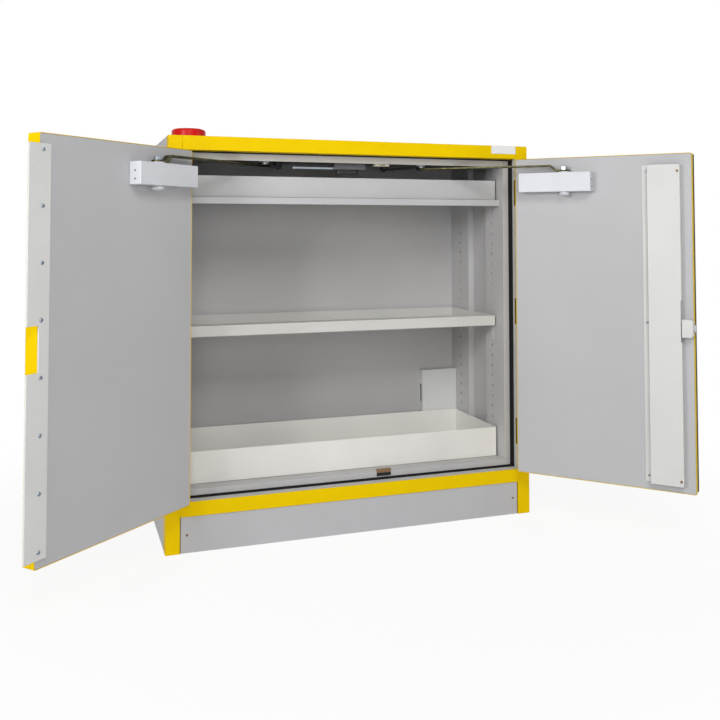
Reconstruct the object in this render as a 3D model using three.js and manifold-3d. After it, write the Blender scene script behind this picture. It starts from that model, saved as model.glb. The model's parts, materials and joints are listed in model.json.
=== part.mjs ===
// An underbench safety cabinet with two hinged doors, a shelf, trays and door closers.
// Millimetres, +Z up, +X to the right and +Y to the back. The origin is on the floor,
// in the middle of the plinth panel's foot. The doors are modelled standing open.
import * as THREE from 'three';
import { mergeVertices } from 'three/addons/utils/BufferGeometryUtils.js';
import Module from 'manifold-3d';

const wasm = await Module();
wasm.setup();

// Cabinet
const cabinetWidth = 800;
const cabinetHeight = 820;
const cabinetDepth = 345;
const clearance = 0.3;
const overrun = 2;
const sheet = 1.5;
const linerSheet = 2;

// Front frame
const stileWidth = 28;
const frameDepth = 32;
const topRailHeight = 28.3;
const bottomRailHeight = 28.4;
const plinthHeight = 70.6;
const plinthRecess = 3;
const plinthFoot = 24;

// Lining
const linerInset = 29;
const rebate = 15;
const ceilingDrop = 30;
const backWall = 35;

// Perforated uprights
const frontUprightDepth = 88;
const rearUprightDepth = 98;
const frontHoleSetback = 57;
const rearHoleSetback = 53;
const holeRadius = 2.2;
const holePitch = 23.5;
const firstHoleHeight = 14.7;
const lastHoleHeadroom = 20;
const holeCountBelowPeg = 11;

// Doors
const doorThickness = 27.6;
const doorSheet = 1.2;
const hingeGap = 1;
const centreGap = 2;
const doorFootGap = 2.7;
const doorHeadGap = 3.9;
const leftOpening = 138;
const rightOpening = 133;
const sealWidth = 4.5;
const sealThickness = 3.6;

// Hinges
const pinInset = 25;
const pinProud = 4;
const pinRadius = 2;
const knuckleRadius = 3.7;
const pinClearance = 0.3;
const leafThickness = 2.3;
const frameLeafWidth = 17;
const doorLeafWidth = 17;
const hingeHeight = 58;
const bottomHingeRise = 80;
const topHingeDrop = 73;

// Centre strip on the left door
const stripThickness = 3;
const stripOnDoor = 21;
const stripPastEdge = 22.5;
const stripFootGap = 15.3;
const stripHeadGap = 17.8;
const stripNotchHeight = 74;
const stripNotchWidth = 23;

// Lock on the right door
const coverSetback = 22;
const coverWidth = 63.5;
const coverDepth = 17.5;
const coverFlange = 12.5;
const coverFootGap = 17;
const coverHeadGap = 23.5;
const coverWindowBelow = 10;
const coverWindowAbove = 37;
const rodSetback = 63;
const rodRadius = 3.5;
const rodOffset = 12;
const rodReach = -1;
const rodHubGap = 5;
const rodFootRise = 2.7;
const latchDrop = 10.75;
const housingHeight = 36;
const housingDepth = 20;
const housingCorner = 6;
const boltReach = 5.5;
const boltHeight = 14;
const boltDepth = 9.5;
const boltStandOff = 5;

// Handle on the right door's outer face
const handleSetback = 63;
const spindleRadius = 4.5;
const hubRadius = 16;
const hubDepth = 14;
const leverLength = 118;
const leverHeight = 20;
const leverDepth = 9;
const innerHubRadius = 12;
const innerHubDepth = 5;

// Door closers
const closerLength = 156;
const closerDepth = 27;
const closerHeight = 41.5;
const closerSetback = 15.7;
const closerHeadGap = 33.3;
const closerCorner = 2;
const closerSpindleReach = 113.5;
const closerSpindleOffset = 14.5;
const bossRadius = 13;
const bossHeight = 1.7;
const closerSpindleRadius = 5;
const boltHeadRadius = 7.5;
const boltHeadHeight = 3.5;
const closerCapRadius = 12;
const closerCapHeight = 9;

// Closer arms
const armLength = 322;
const armWidth = 20;
const armThickness = 3.5;
const armHubRadius = 12;
const armEndRadius = 11;
const armRise = 11;
const crankStart = 18;
const crankRun = 12;
const elbowAngle = 156.72;
const linkWidth = 16;
const linkThickness = 4;
const linkBossRadius = 10.5;
const knuckleDiscRadius = 11;
const knuckleDiscHeight = 4.5;
const elbowGap = 1;
const pivotInset = 270;
const pivotSetback = 205;
const pivotPinRadius = 4;
const bracketLength = 64;
const bracketWidth = 30;
const bracketThickness = 3;
const bracketBossRadius = 10;

// Coordinator, which makes the left door close first
const coordinatorInset = 42;
const coordinatorLength = 70;
const coordinatorDepth = 20;
const coordinatorSetback = 47;
const coordinatorHeight = 27.5;
const coordinatorBarLength = 92;
const coordinatorBarHeight = 4;
const coordinatorBarDepth = 10;
const leverPivotInset = 12;
const coordinatorLeverLength = 38;
const coordinatorLeverWidth = 12;
const coordinatorLeverHeight = 9;
const leverPinRadius = 2.5;

// Shelf, trays and clips
const trayMargin = 4;
const traySheet = 1.5;
const clipRise = 23.5;
const shelfLip = 23;
const shelfSetback = 65;
const shelfBackGap = 10;
const upperShelfDrop = 90;
const upperShelfLip = 14;
const upperShelfSetback = 48.5;
const upperShelfBackGap = 16.5;
const upperTrayHeight = 44.4;
const upperTraySetback = 61;
const upperTrayBackGap = 21;
const lowerTrayHeight = 65.5;
const lowerTraySetback = 63.5;
const lowerTrayBackGap = 28.5;
const clipReach = 13;
const clipWidth = 16;
const clipTail = 10;
const pegRadius = 1.7;
const pegLength = 8;

// Strikes of the lock rods
const strikeWidth = 32;
const strikeDepth = 17;
const strikeSlot = 12;
const strikeWall = 7;
const strikeSetback = 36;
const strikeHead = 19.4;
const floorStrikeDrop = 9.7;
const floorStrikeRise = 5;
const floorStrikePlate = 2;
const floorStrikeLip = 5;

// Vent
const spigotInset = 80;
const spigotBackGap = 50;
const spigotRadius = 37.5;
const spigotWall = 2;
const spigotHeight = 45;
const spigotFlangeRadius = 45;
const capSheet = 1.5;
const capSkirt = 22;
const ventCoverWidth = 93;
const ventCoverHeight = 104;
const ventCoverDepth = 24.7;
const ventCoverBottom = 176;
const ventSlotWidth = 9;
const ventSlotHeight = 43.5;
const ventSlotDrop = 36.5;
const ductWidth = 60;
const ductDepth = 24;
const ductSill = 30;

// Places that several pieces share
const frontY = -(plinthRecess + plinthFoot / 2);
const halfWidth = cabinetWidth / 2;
const frameBackY = frontY + frameDepth;
const behindFrameY = frameBackY + clearance;
const backY = frontY + cabinetDepth;
const liningBackY = backY - backWall;
const liningHalf = halfWidth - linerInset;
const railBottom = plinthHeight;
const floorLipBottom = railBottom + bottomRailHeight;
const floorTop = floorLipBottom + rebate;
const topRailBottom = cabinetHeight - topRailHeight;
const ceilingBottom = cabinetHeight - ceilingDrop;
const headerBottom = ceilingBottom - rebate;
const uprightHalf = liningHalf - rebate;
const trayHalf = uprightHalf - trayMargin;
const doorBottom = floorLipBottom + doorFootGap;
const doorTop = topRailBottom - doorHeadGap;
const doorWidth = halfWidth - stileWidth - hingeGap - centreGap / 2;
const pinToDoor = stileWidth + hingeGap - pinInset;
const pinY = frontY - pinProud;
const spigotX = spigotInset - halfWidth;
const spigotY = backY - spigotBackGap;
const doorMiddle = (doorBottom + doorTop) / 2;
const latchMiddle = doorMiddle - latchDrop;
const coverFoot = doorBottom + coverFootGap;
const coverHead = doorTop - coverHeadGap;
const closerBottom = doorTop - closerHeadGap - closerHeight;
const upperShelfTop = ceilingBottom - upperShelfDrop;
const frontHoleY = behindFrameY + frontHoleSetback;
const rearHoleY = liningBackY - rearHoleSetback;
const pegHeight = holeHeights()[holeCountBelowPeg];
const shelfBottom = pegHeight + clipRise + clearance;
const linkLength = linkReach();
const knuckleSides = 16;
const roundSides = 32;
const holeSides = 8;
const hexSides = 6;

// Colours
const paint = {
  yellow: [0xe6c21a, 0.45, 0.1],
  lightGrey: [0xc9c9cb, 0.5, 0.1],
  doorGrey: [0xb6b6b9, 0.5, 0.1],
  liningGrey: [0x9c9ca1, 0.6, 0.1],
  darkGrey: [0x6f7074, 0.5, 0.3],
  white: [0xdfe2e5, 0.4, 0.1],
  steel: [0xa9a9a6, 0.35, 0.9],
  passivated: [0xa99a4a, 0.4, 0.8],
  brown: [0x8a6a4a, 0.6, 0.2],
  beige: [0xd8cfb4, 0.5, 0.1],
  black: [0x232326, 0.6, 0.1],
  red: [0xd4262a, 0.45, 0],
  board: [0xd9d4c8, 0.9, 0],
};

function material([color, roughness, metalness]) {
  return new THREE.MeshStandardMaterial({ color, roughness, metalness });
}

function add(parent, name, geometry, colour) {
  const mesh = new THREE.Mesh(geometry, material(colour));
  mesh.name = name;
  parent.add(mesh);
  return mesh;
}

// Shapes

function box(x0, x1, y0, y1, z0, z1) {
  const geometry = new THREE.BoxGeometry(Math.abs(x1 - x0), y1 - y0, z1 - z0);
  return geometry.translate((x0 + x1) / 2, (y0 + y1) / 2, (z0 + z1) / 2);
}

function rodAlongZ(x, y, radius, z0, z1, sides) {
  const geometry = new THREE.CylinderGeometry(radius, radius, z1 - z0, sides);
  return geometry.rotateX(Math.PI / 2).translate(x, y, (z0 + z1) / 2);
}

function rodAlongY(x, z, radius, y0, y1, sides) {
  const geometry = new THREE.CylinderGeometry(radius, radius, y1 - y0, sides);
  return geometry.translate(x, (y0 + y1) / 2, z);
}

function rodAlongX(y, z, radius, x0, x1, sides) {
  const geometry = new THREE.CylinderGeometry(radius, radius, Math.abs(x1 - x0), sides);
  return geometry.rotateZ(Math.PI / 2).translate((x0 + x1) / 2, y, z);
}

function outline(points) {
  return new THREE.Shape(points.map(([a, b]) => new THREE.Vector2(a, b)));
}

function extrude(shape, depth, curveSegments = 6) {
  return new THREE.ExtrudeGeometry(shape, { depth, bevelEnabled: false, curveSegments });
}

// An outline in (x, y), drawn up from z0 to z1.
function prismAlongZ(shape, z0, z1) {
  return extrude(shape, z1 - z0).translate(0, 0, z0);
}

// An outline in (y, z), drawn from x0 to x1.
function prismAlongX(shape, x0, x1) {
  const turn = new THREE.Matrix4().set(0, 0, 1, 0, 1, 0, 0, 0, 0, 1, 0, 0, 0, 0, 0, 1);
  return extrude(shape, x1 - x0).applyMatrix4(turn).translate(x0, 0, 0);
}

// An outline in (x, z), drawn from y0 to y1.
function prismAlongY(shape, y0, y1) {
  return extrude(shape, y1 - y0).rotateX(Math.PI / 2).translate(0, y1, 0);
}

function roundedRectangle(a0, a1, b0, b1, radius) {
  const shape = new THREE.Shape();
  shape.moveTo(a0 + radius, b0);
  shape.lineTo(a1 - radius, b0);
  shape.absarc(a1 - radius, b0 + radius, radius, -Math.PI / 2, 0);
  shape.lineTo(a1, b1 - radius);
  shape.absarc(a1 - radius, b1 - radius, radius, 0, Math.PI / 2);
  shape.lineTo(a0 + radius, b1);
  shape.absarc(a0 + radius, b1 - radius, radius, Math.PI / 2, Math.PI);
  shape.lineTo(a0, b0 + radius);
  shape.absarc(a0 + radius, b0 + radius, radius, Math.PI, Math.PI * 3 / 2);
  return shape;
}

// A bar with round ends along +x, from a boss at the origin to a boss at its far end.
function armOutline(length, width, endRadius) {
  const reach = Math.sqrt(endRadius ** 2 - (width / 2) ** 2);
  const angle = Math.asin(width / 2 / endRadius);
  const shape = new THREE.Shape();
  shape.moveTo(reach, width / 2);
  shape.absarc(0, 0, endRadius, angle, Math.PI * 2 - angle);
  shape.lineTo(length - reach, -width / 2);
  shape.absarc(length, 0, endRadius, angle - Math.PI, Math.PI - angle);
  shape.closePath();
  return shape;
}

// Joining and cutting

function solid(geometry) {
  const bare = geometry.clone();
  bare.deleteAttribute('normal');
  bare.deleteAttribute('uv');
  const merged = mergeVertices(bare);
  const vertProperties = new Float32Array(merged.attributes.position.array);
  const triVerts = new Uint32Array(merged.index.array);
  return new wasm.Manifold(new wasm.Mesh({ numProp: 3, vertProperties, triVerts }));
}

function joined(...geometries) {
  return geometries.map(solid).reduce((whole, next) => whole.add(next));
}

function shapeOf(manifold) {
  const mesh = manifold.getMesh();
  const geometry = new THREE.BufferGeometry();
  geometry.setAttribute('position', new THREE.BufferAttribute(mesh.vertProperties, 3));
  geometry.setIndex(new THREE.BufferAttribute(mesh.triVerts, 1));
  return geometry;
}

function join(...geometries) {
  return shapeOf(joined(...geometries));
}

function cut(geometry, ...tools) {
  return shapeOf(solid(geometry).subtract(joined(...tools)));
}

// Front frame

function addStile(parent, side, name) {
  const outer = side * halfWidth;
  const inner = side * (halfWidth - stileWidth);
  const points = [
    [outer, frontY], [inner, frontY], [inner, frameBackY], [inner + side * sheet, frameBackY],
    [inner + side * sheet, frontY + sheet], [outer - side * sheet, frontY + sheet],
    [outer - side * sheet, frameBackY], [outer, frameBackY],
  ];
  const post = prismAlongZ(outline(points), 0, cabinetHeight);
  const head = box(outer, inner, frontY, frameBackY, cabinetHeight - sheet, cabinetHeight);
  add(parent, name, join(post, head), paint.yellow);
}

function addTopRail(parent) {
  const half = halfWidth - stileWidth - clearance;
  const points = [
    [frontY, topRailBottom], [frameBackY, topRailBottom], [frameBackY, topRailBottom + sheet],
    [frontY + sheet, topRailBottom + sheet], [frontY + sheet, cabinetHeight - sheet],
    [frameBackY, cabinetHeight - sheet], [frameBackY, cabinetHeight], [frontY, cabinetHeight],
  ];
  add(parent, 'top_rail', prismAlongX(outline(points), -half, half), paint.yellow);
}

// The bottom rail and the base sheet under the cabinet are one folded piece.
function addBottomRail(parent) {
  const half = halfWidth - stileWidth - clearance;
  const baseHalf = halfWidth - sheet - clearance;
  const baseBackY = backY - sheet - clearance;
  const points = [
    [frontY, railBottom], [frameBackY + overrun, railBottom], [frameBackY + overrun, railBottom + sheet],
    [frontY + sheet, railBottom + sheet], [frontY + sheet, floorLipBottom - sheet],
    [frameBackY, floorLipBottom - sheet], [frameBackY, floorLipBottom], [frontY, floorLipBottom],
  ];
  const rail = prismAlongX(outline(points), -half, half);
  const base = box(-baseHalf, baseHalf, behindFrameY, baseBackY, railBottom, railBottom + sheet);
  add(parent, 'bottom_rail', join(rail, base), paint.yellow);
}

function addPlinth(parent) {
  const half = halfWidth - stileWidth - clearance;
  const face = frontY + plinthRecess;
  const top = railBottom - clearance;
  const points = [
    [face, 0], [face + plinthFoot, 0], [face + plinthFoot, sheet],
    [face + sheet, sheet], [face + sheet, top], [face, top],
  ];
  add(parent, 'plinth_panel', prismAlongX(outline(points), -half, half), paint.lightGrey);
}

// Outer casing

function addCasing(parent) {
  const sideTop = cabinetHeight - sheet - clearance;
  const backHalf = halfWidth - sheet - clearance;
  for (const [side, name] of [[-1, 'left_side_panel'], [1, 'right_side_panel']]) {
    const outer = side * halfWidth;
    add(parent, name, box(outer, outer - side * sheet, behindFrameY, backY, 0, sideTop), paint.lightGrey);
  }
  add(parent, 'back_panel', box(-backHalf, backHalf, backY - sheet, backY, 0, sideTop), paint.lightGrey);
  const top = box(-halfWidth, halfWidth, behindFrameY, backY, cabinetHeight - sheet, cabinetHeight);
  const hole = rodAlongZ(
    spigotX, spigotY, spigotRadius - spigotWall, cabinetHeight - overrun, cabinetHeight + overrun, roundSides,
  );
  add(parent, 'top_panel', cut(top, hole), paint.lightGrey);
}

// The fire insulation lines the casing, with the vent duct let into its back.
function addInsulation(parent) {
  const outerHalf = halfWidth - sheet - clearance;
  const innerHalf = liningHalf + linerSheet + clearance;
  const startY = behindFrameY + linerSheet + clearance;
  const endY = backY - sheet - clearance;
  const bottom = railBottom + sheet + clearance;
  const top = cabinetHeight - sheet - clearance;
  const whole = box(-outerHalf, outerHalf, startY, endY, bottom, top);
  const room = box(
    -innerHalf, innerHalf, startY - overrun, liningBackY + linerSheet + clearance,
    floorTop - linerSheet - clearance, ceilingBottom + linerSheet + clearance,
  );
  const ductFrontY = endY - sheet - ductDepth;
  const ductBackY = endY - sheet;
  const coverX = uprightHalf - ventCoverWidth / 2;
  const ductTop = ceilingBottom - ductWidth / 2;
  const plenum = box(
    spigotX - ductWidth / 2, spigotX + ductWidth / 2, spigotY - ductWidth / 2, ductBackY,
    ceilingBottom + linerSheet * 2, top + overrun,
  );
  const riser = box(
    spigotX - ductWidth / 2, spigotX + ductWidth / 2, ductFrontY, ductBackY, ductTop - ductWidth, top,
  );
  const crossing = box(spigotX, coverX, ductFrontY, ductBackY, ductTop - ductWidth, ductTop);
  const downpipe = box(
    coverX - ductWidth / 2, coverX + ductWidth / 2, ductFrontY, ductBackY,
    ventCoverBottom + ductSill, ductTop,
  );
  const inlet = box(
    coverX - ductWidth / 2, coverX + ductWidth / 2, liningBackY, ductFrontY + overrun,
    ventCoverBottom + ductSill, ventCoverBottom + ductSill + ductWidth,
  );
  add(parent, 'insulation_shell', cut(whole, room, plenum, riser, crossing, downpipe, inlet), paint.board);
}

// Lining

function addLining(parent) {
  const low = floorTop - linerSheet;
  const high = ceilingBottom + linerSheet;
  const half = liningHalf - clearance;
  const endY = liningBackY - clearance;
  const lipBackY = behindFrameY + linerSheet;
  for (const [side, name] of [[-1, 'left_liner'], [1, 'right_liner']]) {
    const inner = side * liningHalf;
    const panel = box(inner, inner + side * linerSheet, behindFrameY, liningBackY + linerSheet, low, high);
    add(parent, name, panel, paint.liningGrey);
  }
  const back = box(-half, half, liningBackY, liningBackY + linerSheet, low, high);
  const coverX = uprightHalf - ventCoverWidth / 2;
  const inlet = box(
    coverX - ductWidth / 2, coverX + ductWidth / 2, liningBackY - overrun, liningBackY + linerSheet + overrun,
    ventCoverBottom + ductSill, ventCoverBottom + ductSill + ductWidth,
  );
  add(parent, 'back_liner', cut(back, inlet), paint.liningGrey);
  const floor = box(-half, half, behindFrameY, endY, low, floorTop);
  const floorLip = box(-half, half, behindFrameY, lipBackY, floorLipBottom + clearance, floorTop);
  add(parent, 'floor_liner', join(floor, floorLip), paint.liningGrey);
  const ceiling = box(-half, half, behindFrameY, endY, ceilingBottom, high);
  const headerHalf = uprightHalf - clearance;
  const header = box(-headerHalf, headerHalf, behindFrameY, lipBackY, headerBottom, high);
  add(parent, 'ceiling_liner', join(ceiling, header), paint.liningGrey);
}

// The rows of shelf holes start above the floor and stop below the ceiling.
function holeHeights() {
  const first = floorTop + firstHoleHeight;
  const count = Math.floor((ceilingBottom - lastHoleHeadroom - first) / holePitch) + 1;
  return Array.from({ length: count }, (_, index) => first + index * holePitch);
}

function addUpright(parent, side, name, y0, y1, holeY) {
  const face = side * uprightHalf;
  const root = side * (liningHalf - clearance);
  const low = floorTop + clearance;
  const high = ceilingBottom - clearance;
  const channel = [
    [face, y0], [root, y0], [root, y0 + sheet], [face + side * sheet, y0 + sheet],
    [face + side * sheet, y1 - sheet], [root, y1 - sheet], [root, y1], [face, y1],
  ];
  const holes = holeHeights().map((z) => rodAlongX(
    holeY, z, holeRadius, face - side * overrun, face + side * (sheet + overrun), holeSides,
  ));
  add(parent, name, cut(prismAlongZ(outline(channel), low, high), ...holes), paint.liningGrey);
}

function addUprights(parent) {
  const frontEnd = behindFrameY + frontUprightDepth;
  const rearStart = liningBackY - clearance - rearUprightDepth;
  const rearEnd = liningBackY - clearance;
  for (const [side, word] of [[-1, 'left'], [1, 'right']]) {
    addUpright(parent, side, `${word}_front_upright`, behindFrameY, frontEnd, frontHoleY);
    addUpright(parent, side, `${word}_rear_upright`, rearStart, rearEnd, rearHoleY);
  }
}

// A rubber ring in the corner of the door rebate.
function addDoorSeal(parent) {
  const half = halfWidth - stileWidth - clearance;
  const low = floorLipBottom + clearance;
  const high = topRailBottom - clearance;
  const startY = frameBackY - sealThickness;
  const ring = box(-half, half, startY, frameBackY, low, high);
  const hole = box(
    sealWidth - half, half - sealWidth, startY - overrun, frameBackY + overrun,
    low + sealWidth, high - sealWidth,
  );
  add(parent, 'door_seal', cut(ring, hole), paint.black);
}

// Shelf, trays and clips

function tray(half, y0, y1, z0, z1) {
  const whole = box(-half, half, y0, y1, z0, z1);
  const inside = box(
    traySheet - half, half - traySheet, y0 + traySheet, y1 - traySheet, z0 + traySheet, z1 + overrun,
  );
  return cut(whole, inside);
}

function addMainShelf(parent) {
  const shape = tray(
    trayHalf, frontY + shelfSetback, liningBackY - shelfBackGap, shelfBottom, shelfBottom + shelfLip,
  );
  add(parent, 'main_shelf', shape, paint.lightGrey);
}

// The upper shelf has a lip at its front and its sides, and its back is open.
function addUpperShelf(parent) {
  const half = uprightHalf - clearance;
  const y0 = frontY + upperShelfSetback;
  const y1 = liningBackY - upperShelfBackGap;
  const low = upperShelfTop - upperShelfLip;
  const whole = box(-half, half, y0, y1, low, upperShelfTop);
  const under = box(
    traySheet - half, half - traySheet, y0 + traySheet, y1 + overrun, low - overrun,
    upperShelfTop - traySheet,
  );
  add(parent, 'upper_shelf', cut(whole, under), paint.lightGrey);
}

function addUpperTray(parent) {
  const low = upperShelfTop + clearance;
  const shape = tray(
    trayHalf, frontY + upperTraySetback, liningBackY - upperTrayBackGap, low, low + upperTrayHeight,
  );
  add(parent, 'upper_tray', shape, paint.lightGrey);
}

function addLowerTray(parent) {
  const low = floorTop + clearance;
  const shape = tray(
    trayHalf, frontY + lowerTraySetback, liningBackY - lowerTrayBackGap, low, low + lowerTrayHeight,
  );
  add(parent, 'lower_tray', shape, paint.lightGrey);
}

// A clip hooks into one hole with its peg, and its upper end carries the shelf.
function addShelfClip(parent, side, name, holeY) {
  const face = side * (uprightHalf - clearance);
  const top = shelfBottom - clearance;
  const low = pegHeight - clipTail;
  const y0 = holeY - clipWidth / 2;
  const y1 = holeY + clipWidth / 2;
  const tab = box(face, face - side * sheet, y0, y1, low, top);
  const rest = box(face, face - side * clipReach, y0, y1, top - sheet, top);
  const pin = rodAlongX(
    holeY, pegHeight, pegRadius, face - side * sheet / 2, face + side * pegLength, holeSides,
  );
  add(parent, name, join(tab, rest, pin), paint.steel);
}

function addShelfClips(parent) {
  for (const [side, word] of [[-1, 'left'], [1, 'right']]) {
    addShelfClip(parent, side, `${word}_front_shelf_clip`, frontHoleY);
    addShelfClip(parent, side, `${word}_rear_shelf_clip`, rearHoleY);
  }
}

// Vent

function addVent(parent) {
  const low = cabinetHeight + clearance;
  const high = cabinetHeight + spigotHeight;
  const boreRadius = spigotRadius - spigotWall;
  const tube = rodAlongZ(spigotX, spigotY, spigotRadius, low, high, roundSides);
  const flange = rodAlongZ(spigotX, spigotY, spigotFlangeRadius, low, low + sheet, roundSides);
  const bore = rodAlongZ(spigotX, spigotY, boreRadius, low - overrun, high + overrun, roundSides);
  add(parent, 'vent_spigot', shapeOf(joined(tube, flange).subtract(solid(bore))), paint.lightGrey);
  const capTop = high + clearance + capSheet;
  const capRadius = spigotRadius + clearance + capSheet;
  const cap = rodAlongZ(spigotX, spigotY, capRadius, capTop - capSkirt, capTop, roundSides);
  const inside = rodAlongZ(
    spigotX, spigotY, capRadius - capSheet, capTop - capSkirt - overrun, capTop - capSheet, roundSides,
  );
  add(parent, 'vent_cap', cut(cap, inside), paint.red);
}

function addVentCover(parent) {
  const x1 = uprightHalf - clearance;
  const x0 = x1 - ventCoverWidth;
  const y1 = liningBackY - clearance;
  const y0 = y1 - ventCoverDepth;
  const z0 = ventCoverBottom;
  const z1 = z0 + ventCoverHeight;
  const whole = box(x0, x1, y0, y1, z0, z1);
  const inside = box(x0 + sheet, x1 - sheet, y0 + sheet, y1 + overrun, z0 + sheet, z1 - sheet);
  const middleY = (y0 + y1) / 2;
  const slotTop = z1 - ventSlotDrop;
  const slot = box(
    x0 - overrun, x0 + sheet + overrun, middleY - ventSlotWidth / 2, middleY + ventSlotWidth / 2,
    slotTop - ventSlotHeight, slotTop,
  );
  add(parent, 'vent_cover', cut(whole, inside, slot), paint.liningGrey);
}

// Strikes

function rodX() {
  return halfWidth - stileWidth - hingeGap - doorWidth + rodSetback;
}

function addStrikes(parent) {
  const x = rodX();
  const y0 = frontY + strikeSetback;
  const top = ceilingBottom - clearance;
  const block = box(x - strikeWidth / 2, x + strikeWidth / 2, y0, y0 + strikeDepth, top - strikeHead, top);
  const slot = box(
    x - strikeSlot / 2, x + strikeSlot / 2, y0 - overrun, y0 + strikeDepth - strikeWall,
    top - strikeHead - overrun, top - strikeWall,
  );
  add(parent, 'top_strike', cut(block, slot), paint.beige);
  const plateFace = frameBackY - floorStrikePlate;
  const plateBack = frameBackY;
  const hook = outline([
    [plateFace, floorTop - floorStrikeDrop], [plateBack, floorTop - floorStrikeDrop],
    [plateBack, floorTop + clearance], [plateFace + floorStrikeLip, floorTop + clearance],
    [plateFace + floorStrikeLip, floorTop + floorStrikeRise], [plateFace, floorTop + floorStrikeRise],
  ]);
  add(parent, 'bottom_strike', prismAlongX(hook, x - strikeWidth / 2, x + strikeWidth / 2), paint.brown);
}

// Coordinator

function addCoordinator(parent) {
  const x0 = -coordinatorInset;
  const x1 = x0 + coordinatorLength;
  const y0 = frontY + coordinatorSetback;
  const y1 = y0 + coordinatorDepth;
  const top = ceilingBottom - clearance;
  const low = top - coordinatorHeight;
  const block = box(x0, x1, y0, y1, low, top);
  const barY = (y0 + y1) / 2;
  const bar = box(
    x0 - coordinatorBarLength, x0 + overrun, barY - coordinatorBarDepth / 2, barY + coordinatorBarDepth / 2,
    low, low + coordinatorBarHeight,
  );
  const pivotX = x0 + leverPivotInset;
  const pin = rodAlongZ(
    pivotX, barY, leverPinRadius, low - coordinatorLeverHeight - clearance, low + overrun, knuckleSides,
  );
  add(parent, 'coordinator_block', join(block, bar, pin), paint.darkGrey);
  const leverGroup = new THREE.Group();
  leverGroup.position.set(pivotX, barY, 0);
  const leverTop = low - clearance;
  const shape = prismAlongZ(
    armOutline(coordinatorLeverLength, coordinatorLeverWidth, coordinatorLeverWidth / 2),
    leverTop - coordinatorLeverHeight, leverTop,
  );
  const hole = rodAlongZ(
    0, 0, leverPinRadius + clearance, leverTop - coordinatorLeverHeight - overrun, leverTop + overrun,
    knuckleSides,
  );
  add(leverGroup, 'coordinator_lever', cut(shape, hole), paint.black);
  parent.add(leverGroup);
}

// Hinges

function hingeBottoms() {
  const low = doorBottom + bottomHingeRise - hingeHeight / 2;
  const high = doorTop - topHingeDrop - hingeHeight / 2;
  return [['bottom', low], ['middle', (low + high) / 2], ['top', high]];
}

// The half on the stile has the pin, and the door's knuckle turns on it.
function addFrameHinge(parent, side, name, bottom) {
  const pinX = side * (halfWidth - pinInset);
  const top = bottom + hingeHeight / 2;
  const knuckle = rodAlongZ(pinX, pinY, knuckleRadius, bottom, top, knuckleSides);
  const leaf = box(
    pinX, pinX + side * frameLeafWidth, frontY - clearance - leafThickness, frontY - clearance, bottom, top,
  );
  const pin = rodAlongZ(pinX, pinY, pinRadius, top - overrun, bottom + hingeHeight, knuckleSides);
  add(parent, name, join(knuckle, leaf, pin), paint.yellow);
}

function addFrameHinges(parent) {
  for (const [side, word] of [[-1, 'left'], [1, 'right']]) {
    for (const [level, bottom] of hingeBottoms()) {
      addFrameHinge(parent, side, `${word}_${level}_hinge`, bottom);
    }
  }
}

// Doors. A door's own group turns about its hinge pins. Along the door, lengths
// run from its hinge edge, and off lengths run inwards from its inner face.

function doorX(side, along) {
  return -side * (pinToDoor + along);
}

function doorY(off) {
  return pinProud + doorThickness + off;
}

function doorBox(side, along0, along1, off0, off1, z0, z1) {
  return box(doorX(side, along0), doorX(side, along1), doorY(off0), doorY(off1), z0, z1);
}

function doorKnuckles(side) {
  return hingeBottoms().flatMap(([, bottom]) => {
    const low = bottom + hingeHeight / 2 + clearance;
    const high = bottom + hingeHeight;
    const leafFront = pinProud - clearance - leafThickness;
    return [
      rodAlongZ(0, 0, knuckleRadius, low, high, knuckleSides),
      box(0, doorX(side, doorLeafWidth), leafFront, pinProud - clearance, low, high),
      box(doorX(side, 0), doorX(side, doorLeafWidth), leafFront, pinProud + doorSheet / 2, low, high),
    ];
  });
}

// The skin is a pan that is open to the inside, with its halves of the hinges welded on.
function doorSkin(side, hasHandle) {
  const whole = joined(
    doorBox(side, 0, doorWidth, -doorThickness, 0, doorBottom, doorTop),
    ...doorKnuckles(side),
  );
  const tools = [
    doorBox(side, doorSheet, doorWidth - doorSheet, doorSheet - doorThickness, overrun,
      doorBottom + doorSheet, doorTop - doorSheet),
  ];
  for (const [, bottom] of hingeBottoms()) {
    tools.push(rodAlongZ(
      0, 0, pinRadius + pinClearance, bottom, bottom + hingeHeight + overrun, knuckleSides,
    ));
  }
  if (hasHandle) {
    tools.push(handleHole(side));
  }
  return shapeOf(whole.subtract(joined(...tools)));
}

function handleHole(side) {
  return rodAlongY(
    doorX(side, doorWidth - handleSetback), latchMiddle, spindleRadius + clearance * 2,
    -overrun, doorY(overrun), roundSides,
  );
}

function doorBoard(side, hasHandle) {
  const edge = doorSheet + clearance;
  const board = doorBox(
    side, edge, doorWidth - edge, edge - doorThickness, -clearance, doorBottom + edge, doorTop - edge,
  );
  return hasHandle ? cut(board, handleHole(side)) : board;
}

function closerBody(side) {
  const x0 = doorX(side, closerSetback);
  const x1 = doorX(side, closerSetback + closerLength);
  const y0 = doorY(clearance);
  const top = closerBottom + closerHeight;
  const profile = roundedRectangle(y0, y0 + closerDepth, closerBottom, top, closerCorner);
  const x = doorX(side, closerSpindleReach);
  const y = doorY(closerSpindleOffset);
  const bossTop = top + bossHeight;
  const headBottom = bossTop + clearance * 2 + armThickness;
  return join(
    prismAlongX(profile, Math.min(x0, x1), Math.max(x0, x1)),
    rodAlongZ(x, y, bossRadius, top - overrun, bossTop, roundSides),
    rodAlongZ(x, y, closerSpindleRadius, top, headBottom + overrun, knuckleSides),
    rodAlongZ(x, y, boltHeadRadius, headBottom, headBottom + boltHeadHeight, hexSides),
    rodAlongZ(x, y, closerCapRadius, closerBottom - closerCapHeight, closerBottom + overrun, roundSides),
  );
}

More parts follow.
